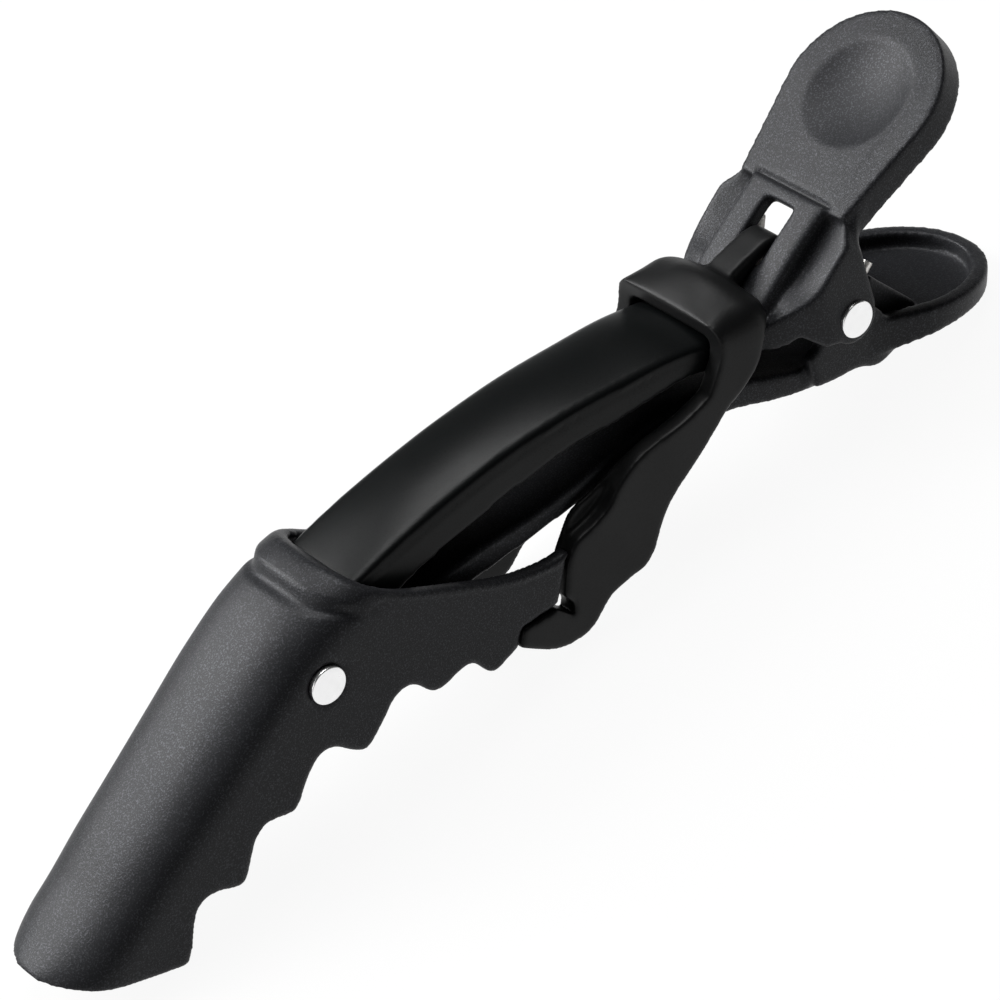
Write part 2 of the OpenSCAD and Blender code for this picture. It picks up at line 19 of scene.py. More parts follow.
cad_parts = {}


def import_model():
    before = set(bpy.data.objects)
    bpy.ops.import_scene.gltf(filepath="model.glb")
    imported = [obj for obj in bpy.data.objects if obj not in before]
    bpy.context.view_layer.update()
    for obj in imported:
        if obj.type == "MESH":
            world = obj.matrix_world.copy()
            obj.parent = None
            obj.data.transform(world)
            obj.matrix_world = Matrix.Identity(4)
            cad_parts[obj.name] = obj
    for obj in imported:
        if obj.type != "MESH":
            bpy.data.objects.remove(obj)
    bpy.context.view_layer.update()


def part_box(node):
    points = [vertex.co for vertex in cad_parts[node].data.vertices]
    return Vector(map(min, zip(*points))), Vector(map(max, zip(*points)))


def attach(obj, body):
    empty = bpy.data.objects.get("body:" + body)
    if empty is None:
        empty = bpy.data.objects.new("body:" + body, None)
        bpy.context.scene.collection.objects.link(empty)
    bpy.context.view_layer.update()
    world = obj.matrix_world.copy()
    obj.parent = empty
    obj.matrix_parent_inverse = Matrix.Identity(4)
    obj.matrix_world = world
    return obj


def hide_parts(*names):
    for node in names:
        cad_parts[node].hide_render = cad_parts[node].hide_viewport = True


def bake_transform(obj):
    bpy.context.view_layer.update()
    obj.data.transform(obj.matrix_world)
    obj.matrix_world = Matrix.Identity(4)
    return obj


LOG = logging.getLogger("sectioning_clip")
MM = 0.001
Outline = Sequence[Sequence[float]]
Points = list[list[float]]
Direction = tuple[float, float, float]
Colour = tuple[float, float, float, float]


class Body(Enum):
    """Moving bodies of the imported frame."""

    LOWER = "lower"
    UPPER = "upper"
    NOSE = "nose"


class Operation(Enum):
    """How one solid is combined with another."""

    JOIN = "UNION"
    CUT = "DIFFERENCE"
    KEEP_INSIDE = "INTERSECT"


# ---- curves and outlines ----------------------------------------------------


def ease(t: float | np.ndarray) -> float | np.ndarray:
    """Goes from 0 to 1 as t does, level at both ends."""
    return t * t * (3 - 2 * t)


def curve(points: Outline, x: float | np.ndarray) -> np.ndarray:
    """Reads the smooth curve through a row of points.

    Args:
        points: Points (x, value) with x rising.
        x: Where to read it.

    Returns:
        The value at each x.
    """
    p = np.asarray(points, float)
    x = np.asarray(x, float)
    index = np.arange(len(p))
    before, after = np.maximum(index - 1, 0), np.minimum(index + 1, len(p) - 1)
    slope = (p[after, 1] - p[before, 1]) / (p[after, 0] - p[before, 0])
    i = np.clip(np.searchsorted(p[:, 0], x, side="right") - 1, 0, len(p) - 2)
    h = p[i + 1, 0] - p[i, 0]
    t = np.clip((x - p[i, 0]) / h, 0, 1)
    s = ease(t)
    swing = t * (1 - t) * h * ((1 - t) * slope[i] - t * slope[i + 1])
    return (1 - s) * p[i, 1] + s * p[i + 1, 1] + swing


def between(a: float, b: float, t: float | np.ndarray) -> float | np.ndarray:
    """Goes from a to b as t goes from 0 to 1, and stays at the ends beyond."""
    return a + (b - a) * np.clip(t, 0, 1)


def trace(points: Outline, step: float) -> Points:
    """Lists the points of the smooth curve through a row of points.

    Args:
        points: Points (x, value) with x rising.
        step: Largest distance along x between two points.

    Returns:
        The points, from the first x to the last.
    """
    first, last = points[0][0], points[-1][0]
    x = np.linspace(first, last, math.ceil((last - first) / step) + 1)
    return np.column_stack([x, curve(points, x)]).tolist()


def arc(x: float, z: float, radius: float, start: float, end: float, step: float = 6.0) -> Points:
    """Lists the points of an arc.

    Args:
        x: Centre along the clip.
        z: Centre height.
        radius: Radius of the arc.
        start: First angle in degrees.
        end: Last angle in degrees.
        step: Largest angle between two points.

    Returns:
        The points, both ends included.
    """
    count = max(2, math.ceil(abs(end - start) / step) + 1)
    angles = np.radians(np.linspace(start, end, count))
    return [[x + radius * math.cos(a), z + radius * math.sin(a)] for a in angles]


def rounded(points: Outline, corner: float = 38.0, step: float = 0.45) -> Points:
    """Draws a closed outline smoothly through its points and keeps its corners.

    Args:
        points: Points of the outline.
        corner: Turn in degrees from which a point stays a corner.
        step: Largest distance between two points of the result.

    Returns:
        The points of the smooth outline.
    """
    p = np.asarray(points, float)
    ahead = np.roll(p, -1, axis=0) - p
    keep = np.linalg.norm(ahead, axis=1) > 1e-6
    p, ahead = p[keep], (np.roll(p[keep], -1, axis=0) - p[keep])
    length = np.linalg.norm(ahead, axis=1)
    heading = ahead / length[:, None]
    back, back_length = np.roll(heading, 1, axis=0), np.roll(length, 1)
    turn = np.degrees(np.arccos(np.clip((heading * back).sum(1), -1, 1)))
    smooth = turn < corner
    # The direction through a point leans to the shorter of its two sides
    lean = heading * back_length[:, None] + back * length[:, None]
    lean /= np.maximum(np.linalg.norm(lean, axis=1), 1e-9)[:, None]
    result = []
    for i in range(len(p)):
        j = (i + 1) % len(p)
        leave = lean[i] if smooth[i] else heading[i]
        arrive = lean[j] if smooth[j] else heading[i]
        for t in np.linspace(0, 1, max(1, math.ceil(length[i] / step)), endpoint=False):
            s = ease(t)
            swing = t * (1 - t) * length[i] * ((1 - t) * leave - t * arrive)
            result.append(((1 - s) * p[i] + s * p[j] + swing).tolist())
    return result


# ---- solids -----------------------------------------------------------------


def vectors(items: bpy.types.bpy_prop_collection, field: str) -> np.ndarray:
    """Reads a field of three numbers from each item.

    Args:
        items: Points, normals or faces of a mesh.
        field: Name of the field.

    Returns:
        The vectors, one row each.
    """
    values = np.empty(len(items) * 3, np.float32)
    items.foreach_get(field, values)
    return values.reshape(-1, 3).astype(float)


class Form:
    """A closed solid under construction, in millimetres from the rear pin axis."""

    def __init__(
        self, name: str, vertices: Outline, faces: Sequence[Sequence[int]], edges: Sequence[tuple[int, int]] = ()
    ) -> None:
        """Makes the solid's mesh with its faces pointing outwards.

        Args:
            name: Name of the object.
            vertices: Corners (x, y, z).
            faces: Corner numbers of each face.
            edges: Corner numbers of each edge that has no face.
        """
        mesh = bpy.data.meshes.new(name)
        mesh.from_pydata([tuple(map(float, v)) for v in vertices], edges, [list(map(int, f)) for f in faces])
        self.obj = bpy.data.objects.new(name, mesh)
        bpy.context.scene.collection.objects.link(self.obj)
        self.face_outwards(merge=1e-5)

    @classmethod
    def loft(cls, name: str, rings: Sequence[np.ndarray]) -> "Form":
        """Skins a row of closed sections with equal, even point counts.

        Args:
            name: Name of the object.
            rings: The sections, each an array of (x, y, z).

        Returns:
            The solid.
        """
        n, last = len(rings[0]), (len(rings) - 1) * len(rings[0])
        faces = []
        for start in range(0, last, n):
            for i in range(n):
                k = (i + 1) % n
                faces.append([start + i, start + k, start + n + k, start + n + i])
        # Each end is closed by strips from one half of its ring to the other
        for end in (0, last):
            for i in range(n // 2 - 1):
                faces.append([end + i, end + i + 1, end + n - 2 - i, end + n - 1 - i])
        return cls(name, np.vstack(rings), faces)

    @classmethod
    def slab(cls, name: str, outline: Outline, width: float, y: float = 0.0) -> "Form":
        """Makes a side profile (x, z) into a slab across the clip.

        Args:
            name: Name of the object.
            outline: The profile.
            width: Thickness across the clip.
            y: Middle of the slab.

        Returns:
            The solid.
        """
        n = len(outline)
        near = [(x, y - width / 2, z) for x, z in outline]
        far = [(x, y + width / 2, z) for x, z in outline]
        sides = [[i, (i + 1) % n, n + (i + 1) % n, n + i] for i in range(n)]
        return cls(name, near + far, [list(range(n)), list(range(2 * n - 1, n - 1, -1)), *sides])

    @classmethod
    def plate(cls, name: str, outline: Outline, low: float, high: float) -> "Form":
        """Makes an outline (x, y) into a plate from one height to another.

        Args:
            name: Name of the object.
            outline: The outline.
            low: Height of its underside.
            high: Height of its top.

        Returns:
            The solid.
        """
        form = cls.slab(name, outline, high - low, (low + high) / 2)
        form.move(Matrix(((1, 0, 0, 0), (0, 0, 1, 0), (0, 1, 0, 0), (0, 0, 0, 1))))
        form.face_outwards()
        return form

    @classmethod
    def rod(cls, name: str, x: float, z: float, radius: float, width: float, y: float = 0.0) -> "Form":
        """Makes a rod across the clip."""
        return cls.slab(name, arc(x, z, radius, 0, 355, 5), width, y)

    @classmethod
    def ball(cls, name: str, radius: float) -> "Form":
        """Makes a finely divided ball round the origin.

        Args:
            name: Name of the object.
            radius: Radius of the ball.

        Returns:
            The solid.
        """
        work = bmesh.new()
        bmesh.ops.create_uvsphere(work, u_segments=160, v_segments=160, radius=radius)
        vertices = [v.co.copy() for v in work.verts]
        faces = [[v.index for v in f.verts] for f in work.faces]
        work.free()
        return cls(name, vertices, faces)

    def face_outwards(self, merge: float = 0.0) -> None:
        """Turns every face outwards.

        Args:
            merge: Points closer than this become one first; 0 leaves them apart.
        """
        work = bmesh.new()
        work.from_mesh(self.obj.data)
        if merge:
            bmesh.ops.remove_doubles(work, verts=work.verts, dist=merge)
        bmesh.ops.recalc_face_normals(work, faces=work.faces)
        work.to_mesh(self.obj.data)
        work.free()

    def move(self, matrix: Matrix) -> "Form":
        """Moves or turns the mesh and returns the solid."""
        self.obj.data.transform(matrix)
        return self

    def apply(self) -> None:
        """Turns the object's modifiers into its mesh."""
        graph = bpy.context.evaluated_depsgraph_get()
        mesh = bpy.data.meshes.new_from_object(self.obj.evaluated_get(graph))
        old, self.obj.data = self.obj.data, mesh
        mesh.name = old.name
        bpy.data.meshes.remove(old)
        self.obj.modifiers.clear()

    def combine(self, operation: Operation, *tools: "Form") -> "Form":
        """Combines the solid with others, which are used up.

        Args:
            operation: How they are combined.
            *tools: The other solids.

        Returns:
            The solid.
        """
        for tool in tools:
            modifier = self.obj.modifiers.new("combine", "BOOLEAN")
            modifier.solver = "EXACT"
            modifier.operation = operation.value
            modifier.object = tool.obj
            self.apply()
            tool.discard()
        return self

    def discard(self) -> None:
        """Removes the solid."""
        mesh = self.obj.data
        bpy.data.objects.remove(self.obj)
        bpy.data.meshes.remove(mesh)

    def mould(self, grain: float, passes: int) -> "Form":
        """Gives the solid an even skin and a moulding's small edge radii.

        Args:
            grain: Size of the skin's faces.
            passes: How far edges are rounded.

        Returns:
            The solid.
        """
        skin = self.obj.modifiers.new("skin", "REMESH")
        skin.mode = "VOXEL"
        skin.voxel_size = grain
        skin.use_smooth_shade = True
        edges = self.obj.modifiers.new("edges", "SMOOTH")
        edges.factor = 0.5
        edges.iterations = passes
        self.apply()
        return self

    def points(self) -> np.ndarray:
        """Returns the mesh's points, one row each."""
        return vectors(self.obj.data.vertices, "co")

    def place_points(self, points: np.ndarray) -> None:
        """Gives the mesh's points new places, one row each."""
        self.obj.data.vertices.foreach_set("co", points.astype(np.float32).ravel())
        self.obj.data.update()

    def normals(self) -> np.ndarray:
        """Returns the skin's direction at each point, one row each."""
        return vectors(self.obj.data.vertex_normals, "vector")

    def push(self, depth: np.ndarray) -> None:
        """Moves each point along the skin's direction by its own depth."""
        self.place_points(self.points() + self.normals() * depth[:, None])

    def aim(self, name: str, directions: np.ndarray) -> None:
        """Stores a direction at each point under a name, for a node tree to read."""
        attribute = self.obj.data.attributes.new(name, "FLOAT_VECTOR", "POINT")
        attribute.data.foreach_set("vector", directions.astype(np.float32).ravel())

    def placed(self, origin: Vector) -> bpy.types.Object:
        """Sets the solid in the row frame.

        Args:
            origin: The rear pin axis at the mid-plane, in metres.

        Returns:
            The finished object, untouched by its own transform.
        """
        self.obj.data.transform(Matrix.Translation(origin) @ Matrix.Scale(MM, 4))
        self.obj.data.shade_smooth()
        return self.obj


def channel_ring(x: float, outer: np.ndarray, inner: np.ndarray) -> np.ndarray:
    """Makes the closed section of a channel.

    Args:
        x: Where the section lies.
        outer: Half-path (y, z) outside, from the bottom edge to the crown.
        inner: Half-path inside, with as many points.

    Returns:
        The section's points (x, y, z).
    """
    flip = np.array([-1.0, 1.0])
    yz = np.vstack([outer * flip, outer[-2::-1], inner, inner[-2::-1] * flip])
    return np.column_stack([np.full(len(yz), x), yz])


# ---- sizes shared by the pieces ---------------------------------------------


@dataclass(frozen=True)
class Hinges:
    """Places of the two rivets and the sizes that several pieces share, in millimetres."""

    origin: Vector
    span: float
    rise: float
    saddle_width: float
    jaw_width: float
    shank: float = 2.4
    head: float = 3.8
    head_height: float = 0.7
    play: float = 0.05
    collar_x: float = -14.3
    rail: float = 27.3

    @property
    def bore(self) -> float:
        """Radius of a rivet's hole."""
        return self.shank / 2 + self.play

    @classmethod
    def from_frame(cls) -> "Hinges":
        """Reads the rivets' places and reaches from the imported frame.

        Returns:
            The sizes that the pieces share.
        """
        low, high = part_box("rear_pin")
        front_low, front_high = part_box("front_pin")
        origin = Vector(((low.x + high.x) / 2, 0, (low.z + high.z) / 2))
        front = (front_low + front_high) / 2
        heads = 2 * cls.head_height
        return cls(
            origin=origin,
            span=(origin.x - front.x) / MM,
            rise=(front.z - origin.z) / MM,
            saddle_width=(high.y - low.y) / MM - heads,
            jaw_width=(front_high.y - front_low.y) / MM - heads,
        )

    def chord(self, x: float | np.ndarray) -> float | np.ndarray:
        """Height of the line through both rivets."""
        return -x / self.span * self.rise

    def along(self, x: float | np.ndarray) -> float | np.ndarray:
        """Place along the arm: 0 at the strap, 1 at the front rivet."""
        return (self.collar_x - x) / (self.span + self.collar_x)


# ---- upper lever ------------------------------------------------------------


@dataclass
class UpperLever:
    """The bowed arm with its saddle and thumb pad, one moulding.

    The points of rise and under are (place along the arm, height over the chord). Those of
    the other curves are (x, height), or (x, half-width), from the rear pin axis.
    """

    hinges: Hinges
    front_width: float = 10.0
    rear_width: float = 11.2
    wall: float = 1.4
    platform_width: float = 10.4
    platform_skin: float = 1.75
    boss: float = 3.2
    lug: float = 2.75
    deep: float = -6.0
    taper: float = 2.2
    platform_run: float = 6.0
    fold_run: tuple[float, float] = (1.2, 1.9)
    crown_height: float = 0.8
    crown_front: float = 0.1
    crown_rear: float = 0.05
    crown_fade: tuple[float, float] = (0.62, 0.3)
    crown_run: float = 7.0
    pad_diameter: float = 18.2
    pad_slope: float = 25.4
    pad_reach: float = 10.75
    pad_overlap: float = 0.9
    pad_rim: float = 3.4
    pad_rim_width: float = 1.5
    pad_hollow: float = 2.0
    pad_skin: float = 1.7
    pad_root: float = 7.25
    pad_droop: float = 0.0018
    droop_start: float = 2.0
    dimple_diameter: float = 11.8
    dimple_depth: float = 1.05
    slot_width: float = 3.8
    slot_length: float = 6.5
    slot_rear: Direction = (1.7, 0, 9)
    slot_slope: float = 26.0
    step: Direction = (3.5, 0, 9.95)
    step_groove: Outline = ((-0.55, -0.5), (-0.05, -0.5), (-0.05, 1.5), (-0.55, 1.5))
    saddle_start: float = -8.6
    saddle_end: float = 3.1
    rise: Outline = (
        (0, 5), (0.09, 6.15), (0.2, 6.95), (0.33, 7.7), (0.44, 7.9), (0.54, 7.75), (0.71, 6.95), (0.85, 5.7),
        (0.9, 4.95), (1, 3), (1.08, 1.4),
    )
    platform: Outline = (
        (-14.3, 6.1), (-12, 5.2), (-9.5, 4.6), (-6.8, 5.3), (-4.4, 6.7), (-1.6, 8.15), (0.5, 9.15), (2.75, 10.15),
        (3.3, 10.35),
    )
    flare: Outline = ((-8.6, 0), (-8.1, 0.22), (-7, 0.5), (-5, 0.8), (-3, 0.98), (-2, 1))
    side_top: Outline = (
        (-9, 3.2), (-7, 4), (-5, 4.6), (-3.7, 5), (-2.3, 5.7), (-0.7, 6.7), (1.1, 7.7), (1.8, 7.2), (3.1, 5.6),
    )
    fold_top: Outline = ((-9, 3.6), (-7, 4.4), (-5, 4.95), (-3.7, 5.3), (-2.3, 6), (-0.7, 7), (1.1, 8), (3.1, 9.3))
    gutter: Outline = (
        (-9, 4.1), (-7, 4.6), (-4.1, 5.15), (-1.5, 6), (0.6, 7.05), (2.1, 7.85), (2.7, 8.3), (3.1, 8.9),
    )
    under: Outline = (
        (0.06, 3), (0.18, 3.35), (0.26, 3.6), (0.34, 4.05), (0.42, 3.95), (0.5, 3.85), (0.61, 3.25), (0.71, 2.65),
        (0.82, 1.2), (0.92, -1.2),
    )
    saddle_under: Outline = ((-14.5, 3.2), (-11.5, 2.2), (-10.2, 1.2), (-8.7, 0.5), (-7, 0.9), (-5.7, 1.4))
    gusset_low: Outline = ((2.3, 3.6), (2.75, 4.6), (3.1, 6.1), (3.9, 7), (5.4, 7.5))
    gusset_outer: Outline = ((2.3, 9), (2.75, 8.85), (3.2, 8.25), (3.9, 7.8), (5.4, 7.62))
    gusset_shoulder: Outline = ((2.3, 6), (2.75, 6.8), (3.2, 7.8), (3.9, 8.9), (5.4, 10.1))
    gusset_crest: Outline = ((2.3, 7.9), (3.1, 9.1), (3.9, 9.9), (5.4, 10.6))
    gusset_inner: float = 6.2

    def top(self, x: float | np.ndarray) -> np.ndarray:
        """Top of the arm and platform at the edge of the crown."""
        arm = self.hinges.chord(x) + curve(self.rise, self.hinges.along(x))
        return np.where(np.asarray(x) < self.hinges.collar_x, arm, curve(self.platform, x))

    def half(self, x: float) -> float:
        """Half-width of the arm and platform.

        Args:
            x: Place from the rear pin axis.

        Returns:
            The half-width there.
        """
        if x < self.hinges.collar_x:
            return between(self.rear_width, self.front_width, self.hinges.along(x) * self.taper) / 2
        behind = (x - self.hinges.collar_x) / self.platform_run
        return between(self.rear_width, self.platform_width, behind) / 2

    def cheek(self, x: float) -> float:
        """Half-width over the cheeks.

        Args:
            x: Place from the rear pin axis.

        Returns:
            The half-width there; ahead of the saddle that of the arm.
        """
        if x < self.saddle_start:
            return self.half(x)
        return between(self.half(x), self.hinges.saddle_width / 2, curve(self.flare, x))

    def crown(self, x: float) -> float:
        """How far the middle of the top stands above its edge.

        Args:
            x: Place from the rear pin axis.

        Returns:
            The height, which fades at the arm's front end and on the platform.
        """
        if x < self.hinges.collar_x:
            start, run = self.crown_fade
            return between(self.crown_height, self.crown_front, (self.hinges.along(x) - start) / run)
        return between(self.crown_height, self.crown_rear, (x - self.hinges.collar_x) / self.crown_run)

    def half_path(self, x: float, inset: float) -> np.ndarray:
        """Half section of the skin, with the same number of points everywhere.

        Args:
            x: Place from the rear pin axis.
            inset: Thickness of the wall for the inside, 0 for the outside.

        Returns:
            The points (y, z) from the bottom edge up the side and over to the middle.
        """
        cheek, width, crown = self.cheek(x) - inset, self.half(x) - inset, self.crown(x)
        top = float(self.top(x))
        if x > self.saddle_start:
            # Cheek, fold and gutter beside the platform; the fold runs in to the pad's root
            top -= self.platform_skin if inset else 0.0
            start, run = self.fold_run
            fold = between(self.cheek(x) - 0.15, self.pad_root, (x - start) / run) - inset
            gutter_z = min(float(curve(self.gutter, x)) - inset * 0.9, top - 1.3)
            side = [
                (cheek, float(curve(self.side_top, x)) - inset), (fold, float(curve(self.fold_top, x)) - inset),
                (width + 0.1, gutter_z), (width, top - 0.85),
            ]
        else:
            # Plain side of the arm with a fine seam below its top edge
            top -= self.wall if inset else 0.0
            side = [(cheek, top - 2.4), (width, top - 1.9), (width, top - 1.3), (width - 0.2, top - 0.85)]
        edge = [(width - 0.05, top - 0.55), (width - 0.22, top - 0.12)]
        over = [(width * q, top + crown * (1 - q * q)) for q in (0.85, 0.7, 0.55, 0.4, 0.25, 0.12, 0)]
        return np.array([(cheek, self.deep), *side, *edge, *over])

    def side_profile(self) -> Outline:
        """Side profile of the arm, cheeks and lugs.

        Returns:
            The outline (x, z), open above the top.
        """
        h = self.hinges
        along = np.linspace(self.under[-1][0], self.under[0][0], 60)
        x = h.collar_x - along * (h.span + h.collar_x)
        under = np.column_stack([x, h.chord(x) + curve(self.under, along)]).tolist()
        cheeks = [*trace(self.saddle_under, 0.4), [-5, 0.5], [-3.75, -1.1]]
        front, over = -h.span - self.boss, 14
        return [
            [self.saddle_end, over], [front, over], [front, h.rise],
            *arc(-h.span, h.rise, self.boss, 195, 300), *under, *cheeks,
            *arc(0, 0, self.lug, 210, 360), [self.lug, 5.4], [self.saddle_end, 7.2],
        ]

    def pad_plate(self, back: float, inset: float, low: float, high: float) -> Form:
        """Plate of the pad's neck and disc, in the pad's own plane.

        Args:
            back: How far the neck reaches back from the step over the slot.
            inset: How far the outline lies inside the pad's edge.
            low: Height of its underside.
            high: Height of its top.

        Returns:
            The solid.
        """
        disc = arc(self.pad_reach + back, 0, self.pad_diameter / 2 - inset, -98, 98, 3)
        outline = [[0, -self.pad_root + inset], *disc, [0, self.pad_root - inset]]
        return Form.plate("pad", outline, low, high).move(Matrix.Translation((-back, 0, 0)))

    def pad(self) -> Form:
        """Thumb pad: a skin with a rim round it and a dimple, drooping to its end.

        Returns:
            The solid, in its place.
        """
        pad = self.pad_plate(self.pad_overlap, 0, -self.pad_rim, 0)
        room = self.pad_plate(self.pad_hollow, self.pad_rim_width, -self.pad_rim - 1, -self.pad_skin)
        depth, span = self.dimple_depth, self.dimple_diameter
        ball_radius = (span * span / 4 + depth * depth) / (2 * depth)
        dimple = Form.ball("dimple", ball_radius)
        dimple.move(Matrix.Translation((self.pad_reach, 0, ball_radius - depth)))
        pad.combine(Operation.CUT, room, dimple)
        points = pad.points()
        points[:, 2] -= self.pad_droop * np.maximum(points[:, 0] - self.droop_start, 0) ** 2
        pad.place_points(points)
        return pad.move(self.on_pad())

    def gusset(self, side: int) -> Form:
        """Gusset that carries a cheek's rear edge up into the rim of the pad.

        Args:
            side: -1 for the near cheek, 1 for the far one.

        Returns:
            The solid.
        """
        x = np.linspace(self.gusset_low[0][0], self.gusset_low[-1][0], 16)
        edges = (self.gusset_low, self.gusset_outer, self.gusset_shoulder, self.gusset_crest)
        low, outer, shoulder, crest = (curve(edge, x) for edge in edges)
        inner = np.full(len(x), self.gusset_inner)
        section = ((inner, low), (outer, low), (outer, shoulder), (inner, crest))
        rings = np.stack([np.column_stack([x, side * y, z]) for y, z in section], axis=1)
        return Form.loft("gusset", list(rings))

    def on_pad(self) -> Matrix:
        """Place of the pad's own plane."""
        turn = Matrix.Rotation(math.radians(-self.pad_slope), 4, "Y")
        return Matrix.Translation(self.step) @ turn

    def build(self) -> Form:
        """Builds the whole moulding.

        Returns:
            The solid, before its edges are rounded.
        """
        h = self.hinges
        stations = np.concatenate([
            np.linspace(-h.span - 4.4, h.collar_x, 64), np.linspace(-14, -8.7, 12),
            [self.saddle_start], np.linspace(-8.4, self.saddle_end, 40),
        ])
        rings = [channel_ring(x, self.half_path(x, 0), self.half_path(x, self.wall)) for x in stations]
        lever = Form.loft("upper_lever", rings)
        lever.combine(Operation.KEEP_INSIDE, Form.slab("sides", self.side_profile(), h.saddle_width + 2))
        lever.combine(Operation.JOIN, self.pad(), self.gusset(-1), self.gusset(1))
        groove = Form.slab("groove", self.step_groove, self.platform_width).move(self.on_pad())
        slot_side = [[-self.slot_length, -5], [0, -5], [0, 4], [-self.slot_length, 4]]
        slot = Form.slab("slot", slot_side, self.slot_width)
        slot.move(Matrix.Translation(self.slot_rear) @ Matrix.Rotation(math.radians(-self.slot_slope), 4, "Y"))
        rear_bore = Form.rod("bore", 0, 0, h.bore, h.saddle_width + 2)
        front_bore = Form.rod("bore", -h.span, h.rise, h.bore, self.front_width + 2)
        return lever.combine(Operation.CUT, groove, slot, rear_bore, front_bore)


# ---- front jaw --------------------------------------------------------------


@dataclass
class FrontJaw:
    """The hollow jaw with its mouth, teeth and the two rails behind its rivet.

    Its points count from the front rivet.
    """

    hinges: Hinges
    nose_width: float = 13.6
    wall: float = 1.3
    reach: float = 34.9
    deep: float = -19.5
    recess_play: float = 0.22
    recess_depth: float = 0.35
    lip_height: float = 0.4
    lip_run: float = 1.1
    lip_place: float = 2.4
    lip_sweep: float = 3.4
    groove_depth: float = 0.28
    groove_place: float = 0.35
    groove_spread: float = 0.55
    outer_power: float = 0.8
    inner_power: float = 0.62
    crown_skin: float = 1.1
    nose_run: tuple[float, float] = (-30.0, 24.0)
    nose: Outline = (
        (-35.2, 2.4), (-34.9, 3.4), (-34.5, 4.4), (-34, 5), (-32.9, 5.75), (-30.9, 6.5), (-28, 7), (-20, 8),
        (30, 8),
    )
    shoulder_drop: float = 4.6
    crown: Outline = (
        (-37, -12.4), (-32.1, -10.35), (-27.3, -8.1), (-22.7, -5.5), (-17.9, -3), (-10.9, 0.7), (-6.2, 3.2),
        (-1.3, 5.5), (1.5, 6.4), (4.6, 7.1), (8.5, 7.3), (28, 7.3),
    )
    teeth: Outline = (
        (-23.6, -17.08), (-22.6, -16.95), (-20.4, -12.9), (-19.2, -12.05), (-17.6, -12.2), (-15.5, -13.4),
        (-14.5, -13.2), (-12.2, -10.1), (-11.1, -9.3), (-9.8, -9.4), (-8, -10.1), (-7, -9.8), (-5.2, -7.9),
        (-3.2, -6.6), (-1.6, -7.1), (0.2, -9.2), (1.4, -9.8), (3.8, -8.4), (5.4, -7.2), (6.8, -6.8), (8.1, -7.4),
        (9.7, -9.7), (13.6, -9.7), (14.6, -10.4), (15.5, -12.2), (16.4, -12.7), (17.9, -12.4),
    )
    rail_top: Outline = ((7, 5.6), (10.1, 2.6), (15.3, -1.1), (20.4, -4.5), (24.6, -6.3), (27.3, -6.8))

    def half(self, x: float) -> float:
        """Half-width of the jaw, rounded in at the nose.

        Args:
            x: Place from the front rivet.

        Returns:
            The half-width there.
        """
        start, run = self.nose_run
        body = between(self.nose_width, self.hinges.jaw_width, (x - start) / run) / 2
        return min(body, float(curve(self.nose, x)))

    def half_path(self, x: float, inset: float) -> np.ndarray:
        """Half section of the shell: straight sides under a squarish arch.

        Args:
            x: Place from the front rivet.
            inset: Thickness of the wall for the inside, 0 for the outside.

        Returns:
            The points (y, z) from the bottom edge up to the crown.
        """
        width, drop = max(self.half(x) - inset, 0.3), self.shoulder_drop - inset
        top = float(curve(self.crown, x)) - inset * self.crown_skin
        power = self.inner_power if inset else self.outer_power
        path = [(width, self.deep), (width, top - drop - 1)]
        for a in np.radians(np.arange(90, 0, -5)):
            path.append((width * math.sin(a) ** power, top - drop + drop * math.cos(a) ** power))
        return np.array([*path, (0, top)])

    def side_profile(self) -> Outline:
        """Side profile: nose, mouth edge, rails and the scalloped lower edge.

        Returns:
            The outline (x, z) from the front rivet.
        """
        return [
            [-self.reach, -11.75], [-self.reach, 12], [5, 12], [5.6, 7.2], *trace(self.rail_top, 0.5),
            [self.hinges.rail - 2.6, -11], [20.2, -10.5], [19.2, -12.2], *reversed(trace(self.teeth, 0.3)),
        ]

    def build(self) -> Form:
        """Builds the whole moulding.

        Returns:
            The solid in its place, before its edges are rounded.
        """
        h = self.hinges
        stations = np.concatenate([np.linspace(-35.2, -30, 40), np.linspace(-29.5, 8, 64), np.linspace(9, 28, 16)])
        rings = [channel_ring(x, self.half_path(x, 0), self.half_path(x, self.wall)) for x in stations]
        jaw = Form.loft("front_jaw", rings)
        jaw.combine(Operation.KEEP_INSIDE, Form.slab("sides", self.side_profile(), h.jaw_width + 2))
        middle = h.jaw_width / 2 - self.recess_depth + 0.5
        recesses = [
            Form.rod("recess", 0, 0, h.head / 2 + self.recess_play, 1, side * middle) for side in (-1, 1)
        ]
        jaw.combine(Operation.CUT, Form.rod("bore", 0, 0, h.bore, h.jaw_width + 2), *recesses)
        return jaw.move(Matrix.Translation((-h.span, 0, h.rise)))

    def raise_lip(self, jaw: Form) -> Form:
        """Raises the lip round the mouth behind a groove that follows it over the shoulders.

        Args:
            jaw: The moulded jaw, in its place.

        Returns:
            The jaw.
        """
        x, y, _ = jaw.points().T
        aside = np.abs(y) / (self.hinges.jaw_width / 2)
        behind = x + self.hinges.span - self.lip_place - self.lip_sweep * aside ** 4
        # Only skin that faces up takes part, so the walls below the shoulders stay flat
        facing = np.clip((jaw.normals()[:, 2] - 0.15) / 0.5, 0, 1)
        lip = self.lip_height * ease(np.clip(behind / self.lip_run, 0, 1))
        groove = self.groove_depth * np.exp(-((behind + self.groove_place) / self.groove_spread) ** 2)
        jaw.push((lip - groove) * facing)
        return jaw


# ---- lower jaw --------------------------------------------------------------


